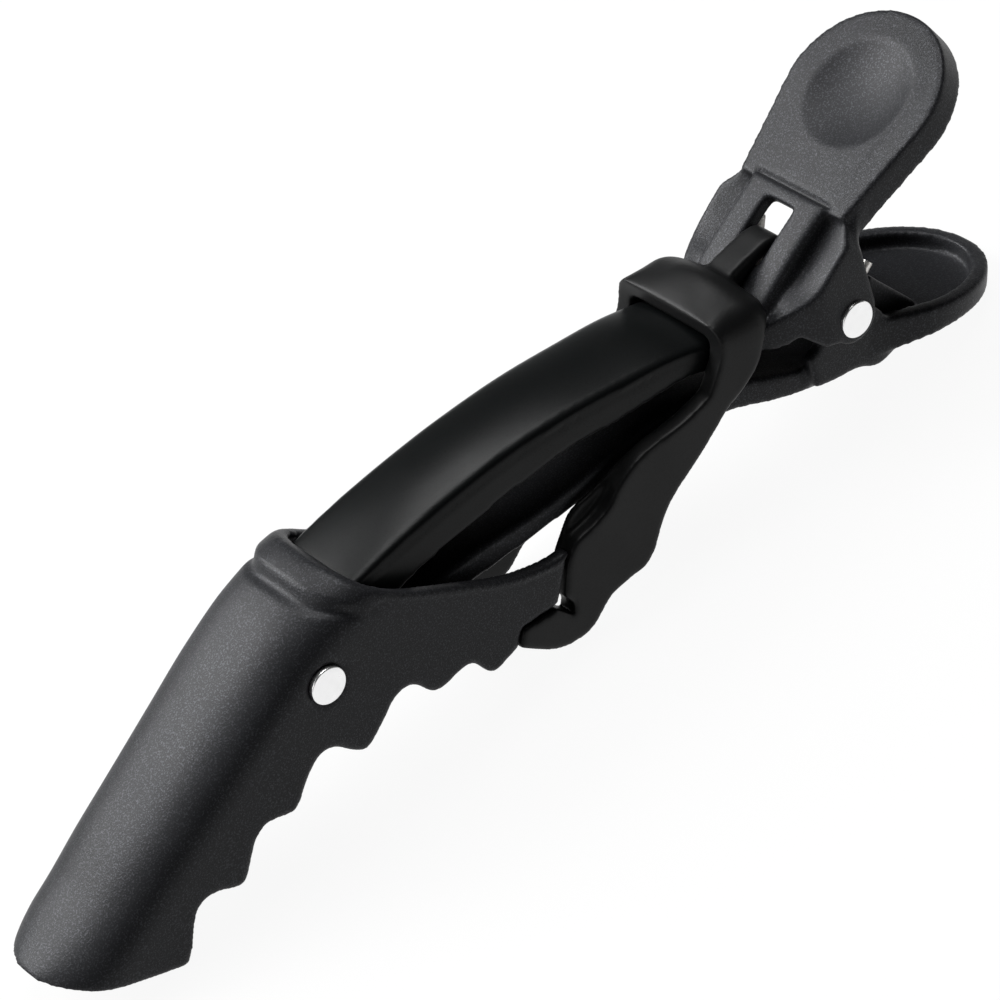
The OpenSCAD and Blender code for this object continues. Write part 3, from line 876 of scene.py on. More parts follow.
@dataclass
class LowerJaw:
    """The bar inside the clip, with the ears of the rear rivet and the dished pad.

    The bar's front points count from the front rivet, the web's, posts' and other ones of the
    bar from the rear rivet. The pad's underside lies in the pad's own plane.
    """

    hinges: Hinges
    wall: float = 1.2
    skin: float = 1.3
    ear_thickness: float = 1.4
    ear_radius: float = 3.1
    ear_gap: float = 1.6
    post_width: float = 1.4
    pad_inset: float = 0.15
    pad_reach: float = 21.3
    pad_centre: float = 11.0
    pad_slope: float = 19.6
    pad_start: float = 2.4
    rim: float = 1.7
    dish: float = 1.7
    rim_z: float = -2.7
    top_front: Outline = (
        (-30, -8.9), (-26, -8.1), (-16, -4.8), (-6, -1), (0, 0.6), (7, 2.4), (14, 3.5), (20.2, 3.3), (26, 2.5),
    )
    top_rear: Outline = ((-32.6, 2.1), (-27.3, 2.1), (-20, 1.5), (-14, 0.2), (-8, -2.6), (-3, -4.8), (3, -5.6))
    under_front: Outline = (
        (-30, -10.2), (-26, -9.9), (-16, -7.2), (-6, -3.6), (0, -2), (7, -0.2), (14, 0.7), (20.2, 0.5), (26, 0.1),
    )
    under_rear: Outline = ((-32.6, -0.1), (-27.3, -0.5), (-20, -1.5), (-14, -3.1), (-8, -5.6), (-3, -7.3), (3, -8.4))
    half_width: Outline = ((-94, 4.3), (-88, 4.7), (-64, 4.8), (-20, 4.8), (-14.5, 5), (-8, 6), (3, 6.1))
    pad_under: Outline = (
        (2.4, 0), (2.4, -3.6), (6.5, -3.5), (9.6, -3.05), (12.8, -2.65), (17.3, -2.5), (30, -2.4), (30, 0),
    )
    web: Outline = (
        (-5, -5.2), (-2.5, -4.9), (2.5, -5.6), (4.6, -5.6), (4.6, -8.2), (2, -8.2), (-2, -7.2), (-5, -6),
    )
    post: Outline = ((3.6, -6.4), (3.9, -1.45), (5.4, -0.48), (6.3, -2), (9.8, -7.4), (9.4, -7.6))

    def edge(self, front: Outline, rear: Outline, x: float | np.ndarray) -> np.ndarray:
        """Height of the bar's edge through its front and rear points."""
        moved = [(along - self.hinges.span, z) for along, z in front]
        return curve([*moved, *rear], x)

    def bar_top(self, x: float | np.ndarray) -> np.ndarray:
        """Top of the bar."""
        return self.edge(self.top_front, self.top_rear, x)

    def bar_half(self, x: float) -> float:
        """Half-width of the bar."""
        return float(curve(self.half_width, x))

    def bar_ring(self, x: float) -> np.ndarray:
        """Closed section of the bar's channel.

        Args:
            x: Place from the rear pin axis.

        Returns:
            The section's points (x, y, z).
        """
        half, top = self.bar_half(x), float(self.bar_top(x))
        under = float(self.edge(self.under_front, self.under_rear, x))
        room, ceiling = half - self.wall, top - min(self.skin, top - under - 0.35)
        outer = [(half, under), (half, top - 0.5), (half - 0.15, top - 0.15), (half - 0.5, top), (0, top)]
        inner = [(room, under), (room, under + 0.1), (room, ceiling - 0.1), (room - 0.1, ceiling), (0, ceiling)]
        return channel_ring(x, np.array(outer), np.array(inner))

    def dish_outline(self, inset: float, start: float) -> Outline:
        """Outline of the pad in its own plane: a half oval on a neck.

        Args:
            inset: How far it lies inside the pad's edge.
            start: Where the neck begins.

        Returns:
            The outline (x, y).
        """
        reach = self.pad_reach / math.cos(math.radians(self.pad_slope)) - self.pad_centre - inset
        half = self.hinges.saddle_width / 2 - self.pad_inset - inset
        oval = [
            [self.pad_centre + reach * math.cos(a), half * math.sin(a)]
            for a in np.radians(np.linspace(-90, 90, 61))
        ]
        neck = [[start, half - 1.5], [start + 2.5, half - 1.1]]
        return [*([x, -y] for x, y in neck), *oval, *reversed(neck)]

    def pad(self) -> Form:
        """Dished thumb pad.

        Returns:
            The solid, in its place.
        """
        plate = Form.plate("pad", rounded(self.dish_outline(0, self.pad_start)), -8, 0)
        plate.combine(Operation.KEEP_INSIDE, Form.slab("under", self.pad_under, self.hinges.saddle_width + 2))
        plate.combine(Operation.CUT, Form.plate("dish", self.dish_outline(self.rim, 2), -self.dish, 6))
        turn = Matrix.Rotation(math.radians(self.pad_slope), 4, "Y")
        return plate.move(Matrix.Translation((0, 0, self.rim_z)) @ turn)

    def build(self) -> Form:
        """Builds the whole moulding apart from its grip ridges.

        Returns:
            The solid, before its edges are rounded.
        """
        h = self.hinges
        ears = h.saddle_width - 2 * self.ear_gap
        stations = np.concatenate([np.linspace(-h.span - 30, -20, 110), np.linspace(-19, -2, 35)])
        bar = Form.loft("lower_jaw", [self.bar_ring(x) for x in stations])
        ear = rounded([
            *arc(0, 0, self.ear_radius, -20, 180, 10), [-self.ear_radius - 0.6, -1.8], [-5.3, -2.2], [-5.4, -5.8],
            [-3, -6.6], [0, -7.4], [2, -8.7], [4.4, -8.7], [4.4, -3.6],
        ])
        ear_y = (ears - self.ear_thickness) / 2
        sides = [Form.slab("ear", ear, self.ear_thickness, side * ear_y) for side in (-1, 1)]
        web = Form.slab("web", self.web, ears - self.ear_thickness)
        posts = [Form.slab("post", self.post, self.post_width, side * Spring.coil_half) for side in (-1, 1)]
        bar.combine(Operation.JOIN, *sides, web, self.pad(), *posts)
        return bar.combine(Operation.CUT, Form.rod("bore", 0, 0, h.bore, ears + 2))


# ---- tension strap ----------------------------------------------------------


@dataclass
class TensionStrap:
    """The rubber strap: a collar over the arm, two legs and the hooks at the rails.

    The points of dome, swell, corner and close are (x, size) from the collar's front to its rear.
    """

    hinges: Hinges
    lever: UpperLever
    step: float = 0.2
    leg: float = 2.4
    collar: float = 1.55
    gap: float = 0.1
    rear: float = -7.0
    tongue: float = 3.4
    corner_radius: float = 1.0
    dome: Outline = ((-14.3, 0), (-12, 0.1), (-10, -0.15), (-8.6, -0.85), (-7.6, -1.65), (-7, -2.5))
    swell: Outline = ((-14.3, 0), (-12, 0.5), (-10, 0.9), (-8.4, 0.9), (-7.6, 0.55), (-7, 0.1))
    corner: Outline = ((-14.3, 1.9), (-12.5, 2.9), (-11, 3.3), (-9.5, 3), (-8, 2.3), (-7, 2.1))
    close: Outline = ((-14.3, 0), (-9.6, 0), (-8.6, 0.3), (-7.8, 1), (-7.3, 1.6), (-7, 1.95))

    @property
    def width(self) -> float:
        """Width over the legs."""
        return self.hinges.jaw_width + 2 * self.step

    @property
    def hook(self) -> float:
        """Where the rails end."""
        return -self.hinges.span + self.hinges.rail

    def ring(self, x: float) -> np.ndarray:
        """Closed section of the strap: two legs, and the collar over the arm.

        Args:
            x: Place from the rear pin axis.

        Returns:
            The section's points (x, y, z).
        """
        collar_x = self.hinges.collar_x
        # Ahead of the collar the section stays as it is there; the side profile leaves only its legs
        xc = max(x, collar_x)
        outer_half = self.width / 2 - float(curve(self.close, xc))
        inner_half = self.width / 2 - self.leg
        grip = self.lever.half(max(x, -16.0)) + self.gap
        ceiling = float(self.lever.top(xc)) + self.lever.crown(xc) + self.gap
        start = float(self.lever.top(collar_x)) + self.lever.crown_height + self.gap + self.collar
        top = max(start + float(curve(self.dome, xc)), ceiling + 0.3)
        swell, corner = float(curve(self.swell, xc)), float(curve(self.corner, xc))
        flat, inner_flat = outer_half - corner, grip - self.corner_radius
        bend = np.radians(np.arange(10, 90, 10))
        across = (0.8, 0.6, 0.4, 0.2, 0)
        outer = [(outer_half, -13), (outer_half, 1.5), (outer_half, top - corner - 0.5)]
        outer += [(flat + corner * math.cos(a), top - corner + corner * math.sin(a)) for a in bend]
        outer += [(flat * q, top + swell * (1 - q * q)) for q in across]
        inner = [(inner_half, -13), (inner_half, 0.8), (grip, 2.4)]
        for a in bend - bend[0]:
            rise = self.corner_radius * (math.sin(a) - 1)
            inner.append((inner_flat + self.corner_radius * math.cos(a), ceiling + rise))
        inner += [(inner_flat * q, ceiling) for q in across]
        return channel_ring(x, np.array(outer), np.array(inner))

    def side_profile(self) -> Outline:
        """Side profile of the collar, legs and hooks.

        Returns:
            The outline (x, z), where k is the place of the rails' ends.
        """
        k, front = self.hook, self.hinges.collar_x
        return [
            [self.rear, 12], [front, 12], [front, 6.4], [-14.7, 5.4], [-15.6, 4.2], [-17, 2.6], [-19.5, 2.2],
            [k + 9.5, 1.9], [k + 7.5, 1], [k + 5.8, -0.3], [k + 3.8, -0.9], [k + 1, -1.4], [k + 0.25, -2.1],
            [k - 1.8, -5.9], [k - 1.1, -7.4], [k - 1.5, -8.6], [k - 3, -6.5], [k - 7, -5.75], [k - 8, -7.4],
            [k - 6.3, -9.1], [k - 4.2, -10.8], [k - 1.9, -11.5], [k, -11.4], [k + 1.4, -10.6], [k + 2.7, -9.8],
            [k + 5.7, -9.5], [k + 7.5, -9.5], [k + 8.8, -8.7], [k + 10, -7.2], [k + 11.3, -5.7], [k + 12.8, -4.6],
            [-21.9, -3.6], [-19.8, -2.6], [-17.3, -1.2], [-15.6, -0.2], [-13.2, 0.6], [-10.6, 2.2], [-9.4, 4],
            [-8.8, 4.9], [self.rear, 5.3],
        ]

    def inner_profile(self) -> Outline:
        """Side profile of the legs' inner layer, which reaches further forward.

        Returns:
            The outline (x, z).
        """
        k = self.hook
        return [
            [k + 9.7, 2], [k + 5.7, 1], [k + 2.5, 0.4], [k + 1, -1], [k - 0.7, -3.2], [k - 1.5, -5.4],
            [k + 0.3, -6.4], [k + 4.7, -4], [k + 9.7, 0],
        ]

    def build(self) -> Form:
        """Builds the whole strap.

        Returns:
            The solid, before its edges are rounded.
        """
        stations = np.concatenate([
            [self.hook - 9.3], np.linspace(-30, self.hinges.collar_x, 20), np.linspace(-14, self.rear - 0.01, 36),
        ])
        strap = Form.loft("tension_strap", [self.ring(x) for x in stations])
        profile = Form.slab("sides", rounded(self.side_profile()), self.width + 2)
        inner = Form.slab("inner", rounded(self.inner_profile()), self.hinges.jaw_width - 3.0)
        strap.combine(Operation.KEEP_INSIDE, profile.combine(Operation.JOIN, inner))
        tongue = rounded([
            [-9.5, 5.6], [-9.5, 7.2], [-7.6, 7.6], [-6, 7.9], [-4, 8.1], [-2, 8.15], [-0.8, 7.6], [-0.4, 6.6],
            [-0.5, 5.2], [-1.6, 4.4], [-2.6, 5.4], [-3.3, 6.6], [-4.1, 6.5], [-6.4, 5.65],
        ], corner=70)
        return strap.combine(Operation.JOIN, Form.slab("tongue", tongue, self.tongue))


# ---- geometry node trees ----------------------------------------------------


class Tree:
    """A geometry node tree with named inputs, built node by node."""

    def __init__(self, name: str, sizes: dict[str, float]) -> None:
        """Makes an empty tree that takes and gives geometry.

        Args:
            name: Name of the tree.
            sizes: Named inputs and the values that they start with.
        """
        self.tree = bpy.data.node_groups.new(name, "GeometryNodeTree")
        self.tree.interface.new_socket("Geometry", in_out="INPUT", socket_type="NodeSocketGeometry")
        for label, value in sizes.items():
            socket = self.tree.interface.new_socket(label, in_out="INPUT", socket_type="NodeSocketFloat")
            socket.default_value = value
        self.tree.interface.new_socket("Geometry", in_out="OUTPUT", socket_type="NodeSocketGeometry")
        self.entry = self.tree.nodes.new("NodeGroupInput")
        self.exit = self.tree.nodes.new("NodeGroupOutput")
        self.sizes = sizes

    def node(self, kind: str, settings: dict[str, object] | None = None, **inputs: object) -> bpy.types.Node:
        """Adds a node.

        Args:
            kind: Type of the node.
            settings: Properties of the node, set before its sockets.
            **inputs: Values or sockets by input name, with _ for a space.

        Returns:
            The node.
        """
        node = self.tree.nodes.new(kind)
        for key, value in (settings or {}).items():
            setattr(node, key, value)
        for label, value in inputs.items():
            socket = node.inputs[label.replace("_", " ")]
            if isinstance(value, bpy.types.NodeSocket):
                self.tree.links.new(value, socket)
            else:
                socket.default_value = value
        return node

    def size(self, label: str) -> bpy.types.NodeSocket:
        """Returns the socket of a named input."""
        return self.entry.outputs[label]

    def row(self, source: Form, aim: str, **inputs: object) -> bpy.types.NodeSocket:
        """Sets a copy of a form on each point of the tree's geometry.

        Args:
            source: The form that is repeated, drawn upright.
            aim: Name of the stored direction that each copy's up points to.
            **inputs: Further inputs of the node, such as Scale.

        Returns:
            The socket that holds the copies.
        """
        copied = self.node("GeometryNodeObjectInfo", Object=source.obj)
        direction = self.node("GeometryNodeInputNamedAttribute", {"data_type": "FLOAT_VECTOR"}, Name=aim)
        turn = self.node("FunctionNodeAlignRotationToVector", {"axis": "Z"}, Vector=direction.outputs["Attribute"])
        copies = self.node(
            "GeometryNodeInstanceOnPoints", Points=self.entry.outputs["Geometry"],
            Instance=copied.outputs["Geometry"], Rotation=turn.outputs["Rotation"], **inputs,
        )
        return copies.outputs["Instances"]

    def grow(self, form: Form, result: bpy.types.NodeSocket, material: bpy.types.Material) -> Form:
        """Runs the tree on a form and keeps the result as its mesh.

        Args:
            form: The form whose mesh the tree reads.
            result: The socket that holds the geometry, instances among it.
            material: The finish that the result gets.

        Returns:
            The form with its new mesh.
        """
        real = self.node("GeometryNodeRealizeInstances", Geometry=result)
        coated = self.node("GeometryNodeSetMaterial", Geometry=real.outputs["Geometry"], Material=material)
        self.tree.links.new(coated.outputs["Geometry"], self.exit.inputs["Geometry"])
        modifier = form.obj.modifiers.new(self.tree.name, "NODES")
        modifier.node_group = self.tree
        for item in self.tree.interface.items_tree:
            if item.in_out == "INPUT" and item.name in self.sizes:
                modifier[item.identifier] = self.sizes[item.name]
        form.apply()
        return form


# ---- torsion spring ---------------------------------------------------------


@dataclass
class Spring:
    """The wire spring round the rear rivet, from its seat leg to the lever's leg."""

    coil_half: ClassVar[float] = 4.65
    hinges: Hinges
    material: bpy.types.Material
    wire: float = 1.1
    sides: int = 14
    turns: int = 7
    steps: int = 24
    coil_gap: float = 0.15
    seat_leg: Sequence[float] = (6.0, 5, 3.9, 3.2)
    seat_z: float = -1.2
    seat_rise: float = 0.64
    lever_leg_y: float = 5.4

    def path(self) -> Points:
        """Centre line of the wire.

        Returns:
            The points (x, y, z) from the seat leg's end to the lever leg's end.
        """
        radius = self.hinges.shank / 2 + self.coil_gap + self.wire / 2
        near, far = -self.coil_half, self.lever_leg_y
        pitch = 2 * self.coil_half / self.turns
        points = [[x, near, self.seat_z + self.seat_rise * (x - self.seat_leg[-1])] for x in self.seat_leg]
        points += [[2.4, near, -1.6], [1.4, near, -radius + 0.1], [0.7, near, -radius]]
        for i in range(self.steps * self.turns + self.steps // 2):
            a = math.radians(-90 - 360 * i / self.steps)
            points.append([radius * math.cos(a), near + pitch * i / self.steps, radius * math.sin(a)])
        points += [[0.6, far, radius + 0.15], [1.2, far, radius + 0.7], [1.7, far, 3.5], [2.2, far, 4.6]]
        return points

    def build(self) -> Form:
        """Draws the wire along its path.

        Returns:
            The finished solid.
        """
        points = self.path()
        form = Form("torsion_spring", points, [], [(i, i + 1) for i in range(len(points) - 1)])
        tree = Tree("wire_along_path", {"Wire radius": self.wire / 2})
        line = tree.node("GeometryNodeMeshToCurve", Mesh=tree.entry.outputs["Geometry"])
        section = tree.node(
            "GeometryNodeCurvePrimitiveCircle", Resolution=self.sides, Radius=tree.size("Wire radius")
        )
        wire = tree.node(
            "GeometryNodeCurveToMesh", Curve=line.outputs["Curve"],
            Profile_Curve=section.outputs["Curve"], Fill_Caps=True,
        )
        tree.grow(form, wire.outputs["Mesh"], self.material).face_outwards()
        return form


# ---- rivets -----------------------------------------------------------------


@dataclass
class Rivet:
    """A rivet across the clip: a shank and two low domed heads."""

    name: str
    hinges: Hinges
    x: float
    z: float
    reach: float
    material: bpy.types.Material
    proud: float = 0.42
    sunk: float = 0.3
    edge: float = 0.16
    count: int = 72

    def head(self) -> Form:
        """Revolves one head, standing on the side of the clip.

        Returns:
            The head, upright on the origin.
        """
        radius, height, edge, count = self.hinges.head / 2, self.proud, self.edge, self.count
        bend = [
            (radius - edge + edge * math.sin(a), height * 0.86 - edge + edge * math.cos(a))
            for a in np.radians(np.linspace(90, 0, 8))
        ]
        profile = [(radius, -self.sunk), *bend, (radius * 0.55, height * 0.96), (radius * 0.25, height)]
        vertices = [(0, 0, -self.sunk)]
        for r, z in profile:
            for a in np.radians(np.arange(count) * 360 / count):
                vertices.append((r * math.cos(a), r * math.sin(a), z))
        vertices.append((0, 0, height))
        faces = [[0, 1 + (i + 1) % count, 1 + i] for i in range(count)]
        for j in range(len(profile) - 1):
            a, b = 1 + j * count, 1 + (j + 1) * count
            faces += [[a + i, a + (i + 1) % count, b + (i + 1) % count, b + i] for i in range(count)]
        last, tip = 1 + (len(profile) - 1) * count, len(vertices) - 1
        faces += [[last + i, last + (i + 1) % count, tip] for i in range(count)]
        return Form("rivet_head", vertices, faces)

    def build(self) -> Form:
        """Sets a head on each side and the shank between them.

        Returns:
            The finished solid.
        """
        head = self.head()
        form = Form(self.name, [(self.x, -self.reach, self.z), (self.x, self.reach, self.z)], [])
        form.aim("facing", np.array([(0, -1, 0), (0, 1, 0)]))
        tree = Tree("heads_and_shank", {"Shank radius": self.hinges.shank / 2, "Shank length": 2 * self.reach})
        heads = tree.row(head, "facing")
        shank = tree.node(
            "GeometryNodeMeshCylinder", Vertices=48, Radius=tree.size("Shank radius"),
            Depth=tree.size("Shank length"),
        )
        laid = tree.node(
            "GeometryNodeTransform", Geometry=shank.outputs["Mesh"], Rotation=(math.pi / 2, 0, 0),
            Translation=(self.x, 0, self.z),
        )
        both = tree.node("GeometryNodeJoinGeometry", Geometry=heads)
        tree.tree.links.new(laid.outputs["Geometry"], both.inputs["Geometry"])
        tree.grow(form, both.outputs["Geometry"], self.material)
        head.discard()
        return form


# ---- grip ridges ------------------------------------------------------------


@dataclass
class GripRidges:
    """The row of cross ridges on the front of the lower jaw's bar."""

    jaw: LowerJaw
    material: bpy.types.Material
    count: int = 7
    pitch: float = 3.0
    height: float = 0.7
    start: float = -27.0
    half_base: float = 1.3
    half_top: float = 0.22
    root: float = 0.5

    def build(self) -> Form:
        """Sets a ridge on each point along the bar, square to its slope.

        Returns:
            The row of ridges.
        """
        jaw = self.jaw
        x = (self.start - jaw.hinges.span + self.pitch / 2) + self.pitch * np.arange(self.count)
        slope = jaw.bar_top(x + 0.5) - jaw.bar_top(x - 0.5)
        form = Form("grip_ridges", np.column_stack([x, 0 * x, jaw.bar_top(x)]), [])
        form.aim("upright", np.column_stack([-slope, 0 * x, np.ones(len(x))]))
        section = [
            [-self.half_base, -self.root], [self.half_base, -self.root],
            [self.half_top, self.height], [-self.half_top, self.height],
        ]
        ridge = Form.slab("ridge", section, 1.0)
        tree = Tree("ridge_row", {"Ridge length": 2 * jaw.bar_half(x[0]) - 1.0})
        length = tree.node("ShaderNodeCombineXYZ", X=1.0, Y=tree.size("Ridge length"), Z=1.0)
        tree.grow(form, tree.row(ridge, "upright", Scale=length.outputs["Vector"]), self.material)
        ridge.discard()
        return form


# ---- finishes ---------------------------------------------------------------


class Number:
    """A number in a shader tree whose arithmetic adds Math nodes."""

    def __init__(self, shader: "Shader", socket: bpy.types.NodeSocket) -> None:
        """Wraps a socket of the shader."""
        self.shader, self.socket = shader, socket

    def _math(self, operation: str, a: "Number | float", b: "Number | float") -> "Number":
        """Adds a Math node for a and b."""
        node = self.shader.node("ShaderNodeMath", {"operation": operation}, {0: a, 1: b})
        return Number(self.shader, node.outputs[0])

    def __add__(self, other: "Number | float") -> "Number":
        """Adds."""
        return self._math("ADD", self, other)

    __radd__ = __add__

    def __mul__(self, other: "Number | float") -> "Number":
        """Multiplies."""
        return self._math("MULTIPLY", self, other)

    __rmul__ = __mul__

    def over(self, other: "Number | float") -> "Number":
        """Tells, as 0 or 1, whether it is over the other."""
        return self._math("GREATER_THAN", self, other)


class Shader:
    """A material's node tree."""

    def __init__(self, name: str) -> None:
        """Makes a material with a Principled shader and object coordinates.

        Args:
            name: Name of the material.
        """
        self.material = bpy.data.materials.new(name)
        self.material.use_nodes = True
        self.tree = self.material.node_tree
        self.principled = self.tree.nodes["Principled BSDF"]
        self.place = self.tree.nodes.new("ShaderNodeTexCoord").outputs["Object"]

    def node(
        self, kind: str, settings: dict[str, object] | None = None, sockets: dict[str | int, object] | None = None
    ) -> bpy.types.Node:
        """Adds a node.

        Args:
            kind: Type of the node.
            settings: Properties of the node, set first.
            sockets: Values, numbers or sockets by input name or index.

        Returns:
            The node.
        """
        node = self.tree.nodes.new(kind)
        for key, value in (settings or {}).items():
            setattr(node, key, value)
        for key, value in (sockets or {}).items():
            self.set(node.inputs[key], value)
        return node

    def set(self, socket: bpy.types.NodeSocket, value: object) -> None:
        """Links a socket or gives it a plain value.

        Args:
            socket: The input that is set.
            value: A number of the shader, a socket or a plain value.
        """
        if isinstance(value, Number):
            value = value.socket
        if isinstance(value, bpy.types.NodeSocket):
            self.tree.links.new(value, socket)
        else:
            socket.default_value = value

    def dress(self, name: str, value: object) -> None:
        """Sets an input of the Principled shader."""
        self.set(self.principled.inputs[name], value)

    def noise(self, scale: float, detail: float = 2.0, roughness: float = 0.5) -> Number:
        """Adds an even noise of about 0.5 on average, with features of 1/scale of a metre."""
        sockets = {"Vector": self.place, "Scale": scale, "Detail": detail, "Roughness": roughness}
        return Number(self, self.node("ShaderNodeTexNoise", {}, sockets).outputs["Fac"])

    def mix(self, factor: Number, a: Colour, b: Colour) -> bpy.types.NodeSocket:
        """Mixes two colours."""
        node = self.node("ShaderNodeMix", {"data_type": "RGBA"}, {"Factor": factor, 6: a, 7: b})
        return node.outputs[2]

    def bump(self, height: Number, depth: float) -> None:
        """Raises the surface by a height from 0 to 1, which stands for a depth in metres."""
        node = self.node("ShaderNodeBump", {}, {"Height": height, "Distance": depth, "Strength": 1.0})
        self.dress("Normal", node.outputs["Normal"])


def grey(value: float, tint: Direction = (1, 1, 1)) -> Colour:
    """Makes a colour from a brightness and a tint."""
    return (value * tint[0], value * tint[1], value * tint[2], 1.0)


@dataclass(frozen=True)
class MouldedPlastic:
    """A black moulded plastic or rubber skin with a fine grain that glints."""

    name: str
    colour: Colour
    fleck: Colour
    roughness: float
    gloss: float
    grain_scale: float
    grain_depth: float
    roughness_spread: float = 0.08
    cloud_scale: float = 130.0
    fleck_level: float = 0.57
    fleck_share: float = 0.5
    cloud_share: float = 0.22
    glint: float = 0.7

    def material(self) -> bpy.types.Material:
        """Builds the material.

        Returns:
            The material, whose flecks stand out by colour and by a little metal.
        """
        s = Shader(self.name)
        grain, cloud = s.noise(self.grain_scale, 3.0, 0.6), s.noise(self.cloud_scale)
        flecks = grain.over(self.fleck_level) * self.fleck_share + cloud * self.cloud_share
        s.dress("Base Color", s.mix(flecks, self.colour, self.fleck))
        s.dress("Metallic", flecks * self.glint)
        s.dress("Roughness", cloud * (2 * self.roughness_spread) + (self.roughness - self.roughness_spread))
        s.dress("Specular IOR Level", self.gloss)
        s.bump(grain, self.grain_depth)
        return s.material


@dataclass(frozen=True)
class PlatedMetal:
    """Bright metal with faint burnishing."""

    name: str
    colour: Colour
    roughness: float
    metallic: float
    worn: Colour = grey(0.7)
    wear: float = 0.25
    wear_scale: float = 900.0
    roughness_spread: float = 0.08
    scratch_scale: float = 2600.0
    scratch_depth: float = 0.000004

    def material(self) -> bpy.types.Material:
        """Builds the material.

        Returns:
            The material, a little duller where it is worn.
        """
        s = Shader(self.name)
        cloud = s.noise(self.wear_scale, 3.0)
        s.dress("Base Color", s.mix(cloud * self.wear, self.colour, self.worn))
        s.dress("Roughness", cloud * (2 * self.roughness_spread) + (self.roughness - self.roughness_spread))
        s.dress("Metallic", self.metallic)
        s.bump(s.noise(self.scratch_scale), self.scratch_depth)
        return s.material


GRAINED = MouldedPlastic(
    "grained_black_plastic", colour=grey(0.009, (0.95, 0.98, 1.1)), fleck=grey(0.055, (0.95, 0.98, 1.08)),
    roughness=0.42, gloss=0.12, grain_scale=6200.0, grain_depth=0.00003,
)
SATIN = MouldedPlastic(
    "satin_black_plastic", colour=grey(0.003, (0.8, 1.0, 1.05)), fleck=grey(0.006),
    roughness=0.34, gloss=0.14, grain_scale=7000.0, grain_depth=0.000005, roughness_spread=0.03,
)
RUBBER = MouldedPlastic(
    "black_elastomer", colour=grey(0.005, (0.95, 1.0, 1.05)), fleck=grey(0.01),
    roughness=0.45, gloss=0.15, grain_scale=6500.0, grain_depth=0.000008,
)
NICKEL = PlatedMetal("nickel_plate", colour=grey(0.97), roughness=0.3, metallic=0.95)
STEEL = PlatedMetal("spring_steel", colour=grey(0.9, (1.0, 0.97, 0.92)), roughness=0.36, metallic=0.5)


# ---- stage ------------------------------------------------------------------


@dataclass(frozen=True)
class Softbox:
    """A square soft light at an even distance from the clip."""

    name: str
    toward: Direction
    size: float
    power: float
    distance: float = 0.9

    def hang(self) -> None:
        """Hangs the light, facing the clip."""
        data = bpy.data.lights.new(self.name, "AREA")
        data.shape = "SQUARE"
        data.size = self.size
        data.energy = self.power
        lamp = bpy.data.objects.new(self.name, data)
        direction = Vector(self.toward).normalized()
        lamp.location = direction * self.distance
        lamp.rotation_euler = direction.to_track_quat("Z", "Y").to_euler()
        bpy.context.scene.collection.objects.link(lamp)


SOFTBOXES = (
    Softbox("back_left_softbox", (-0.36, 0.67, 0.64), 0.55, 16.0),
    Softbox("overhead_softbox", (0.28, 0.2, 0.94), 0.45, 6.4),
    Softbox("low_left_softbox", (-0.93, 0.1, 0.36), 0.5, 2.2),
)


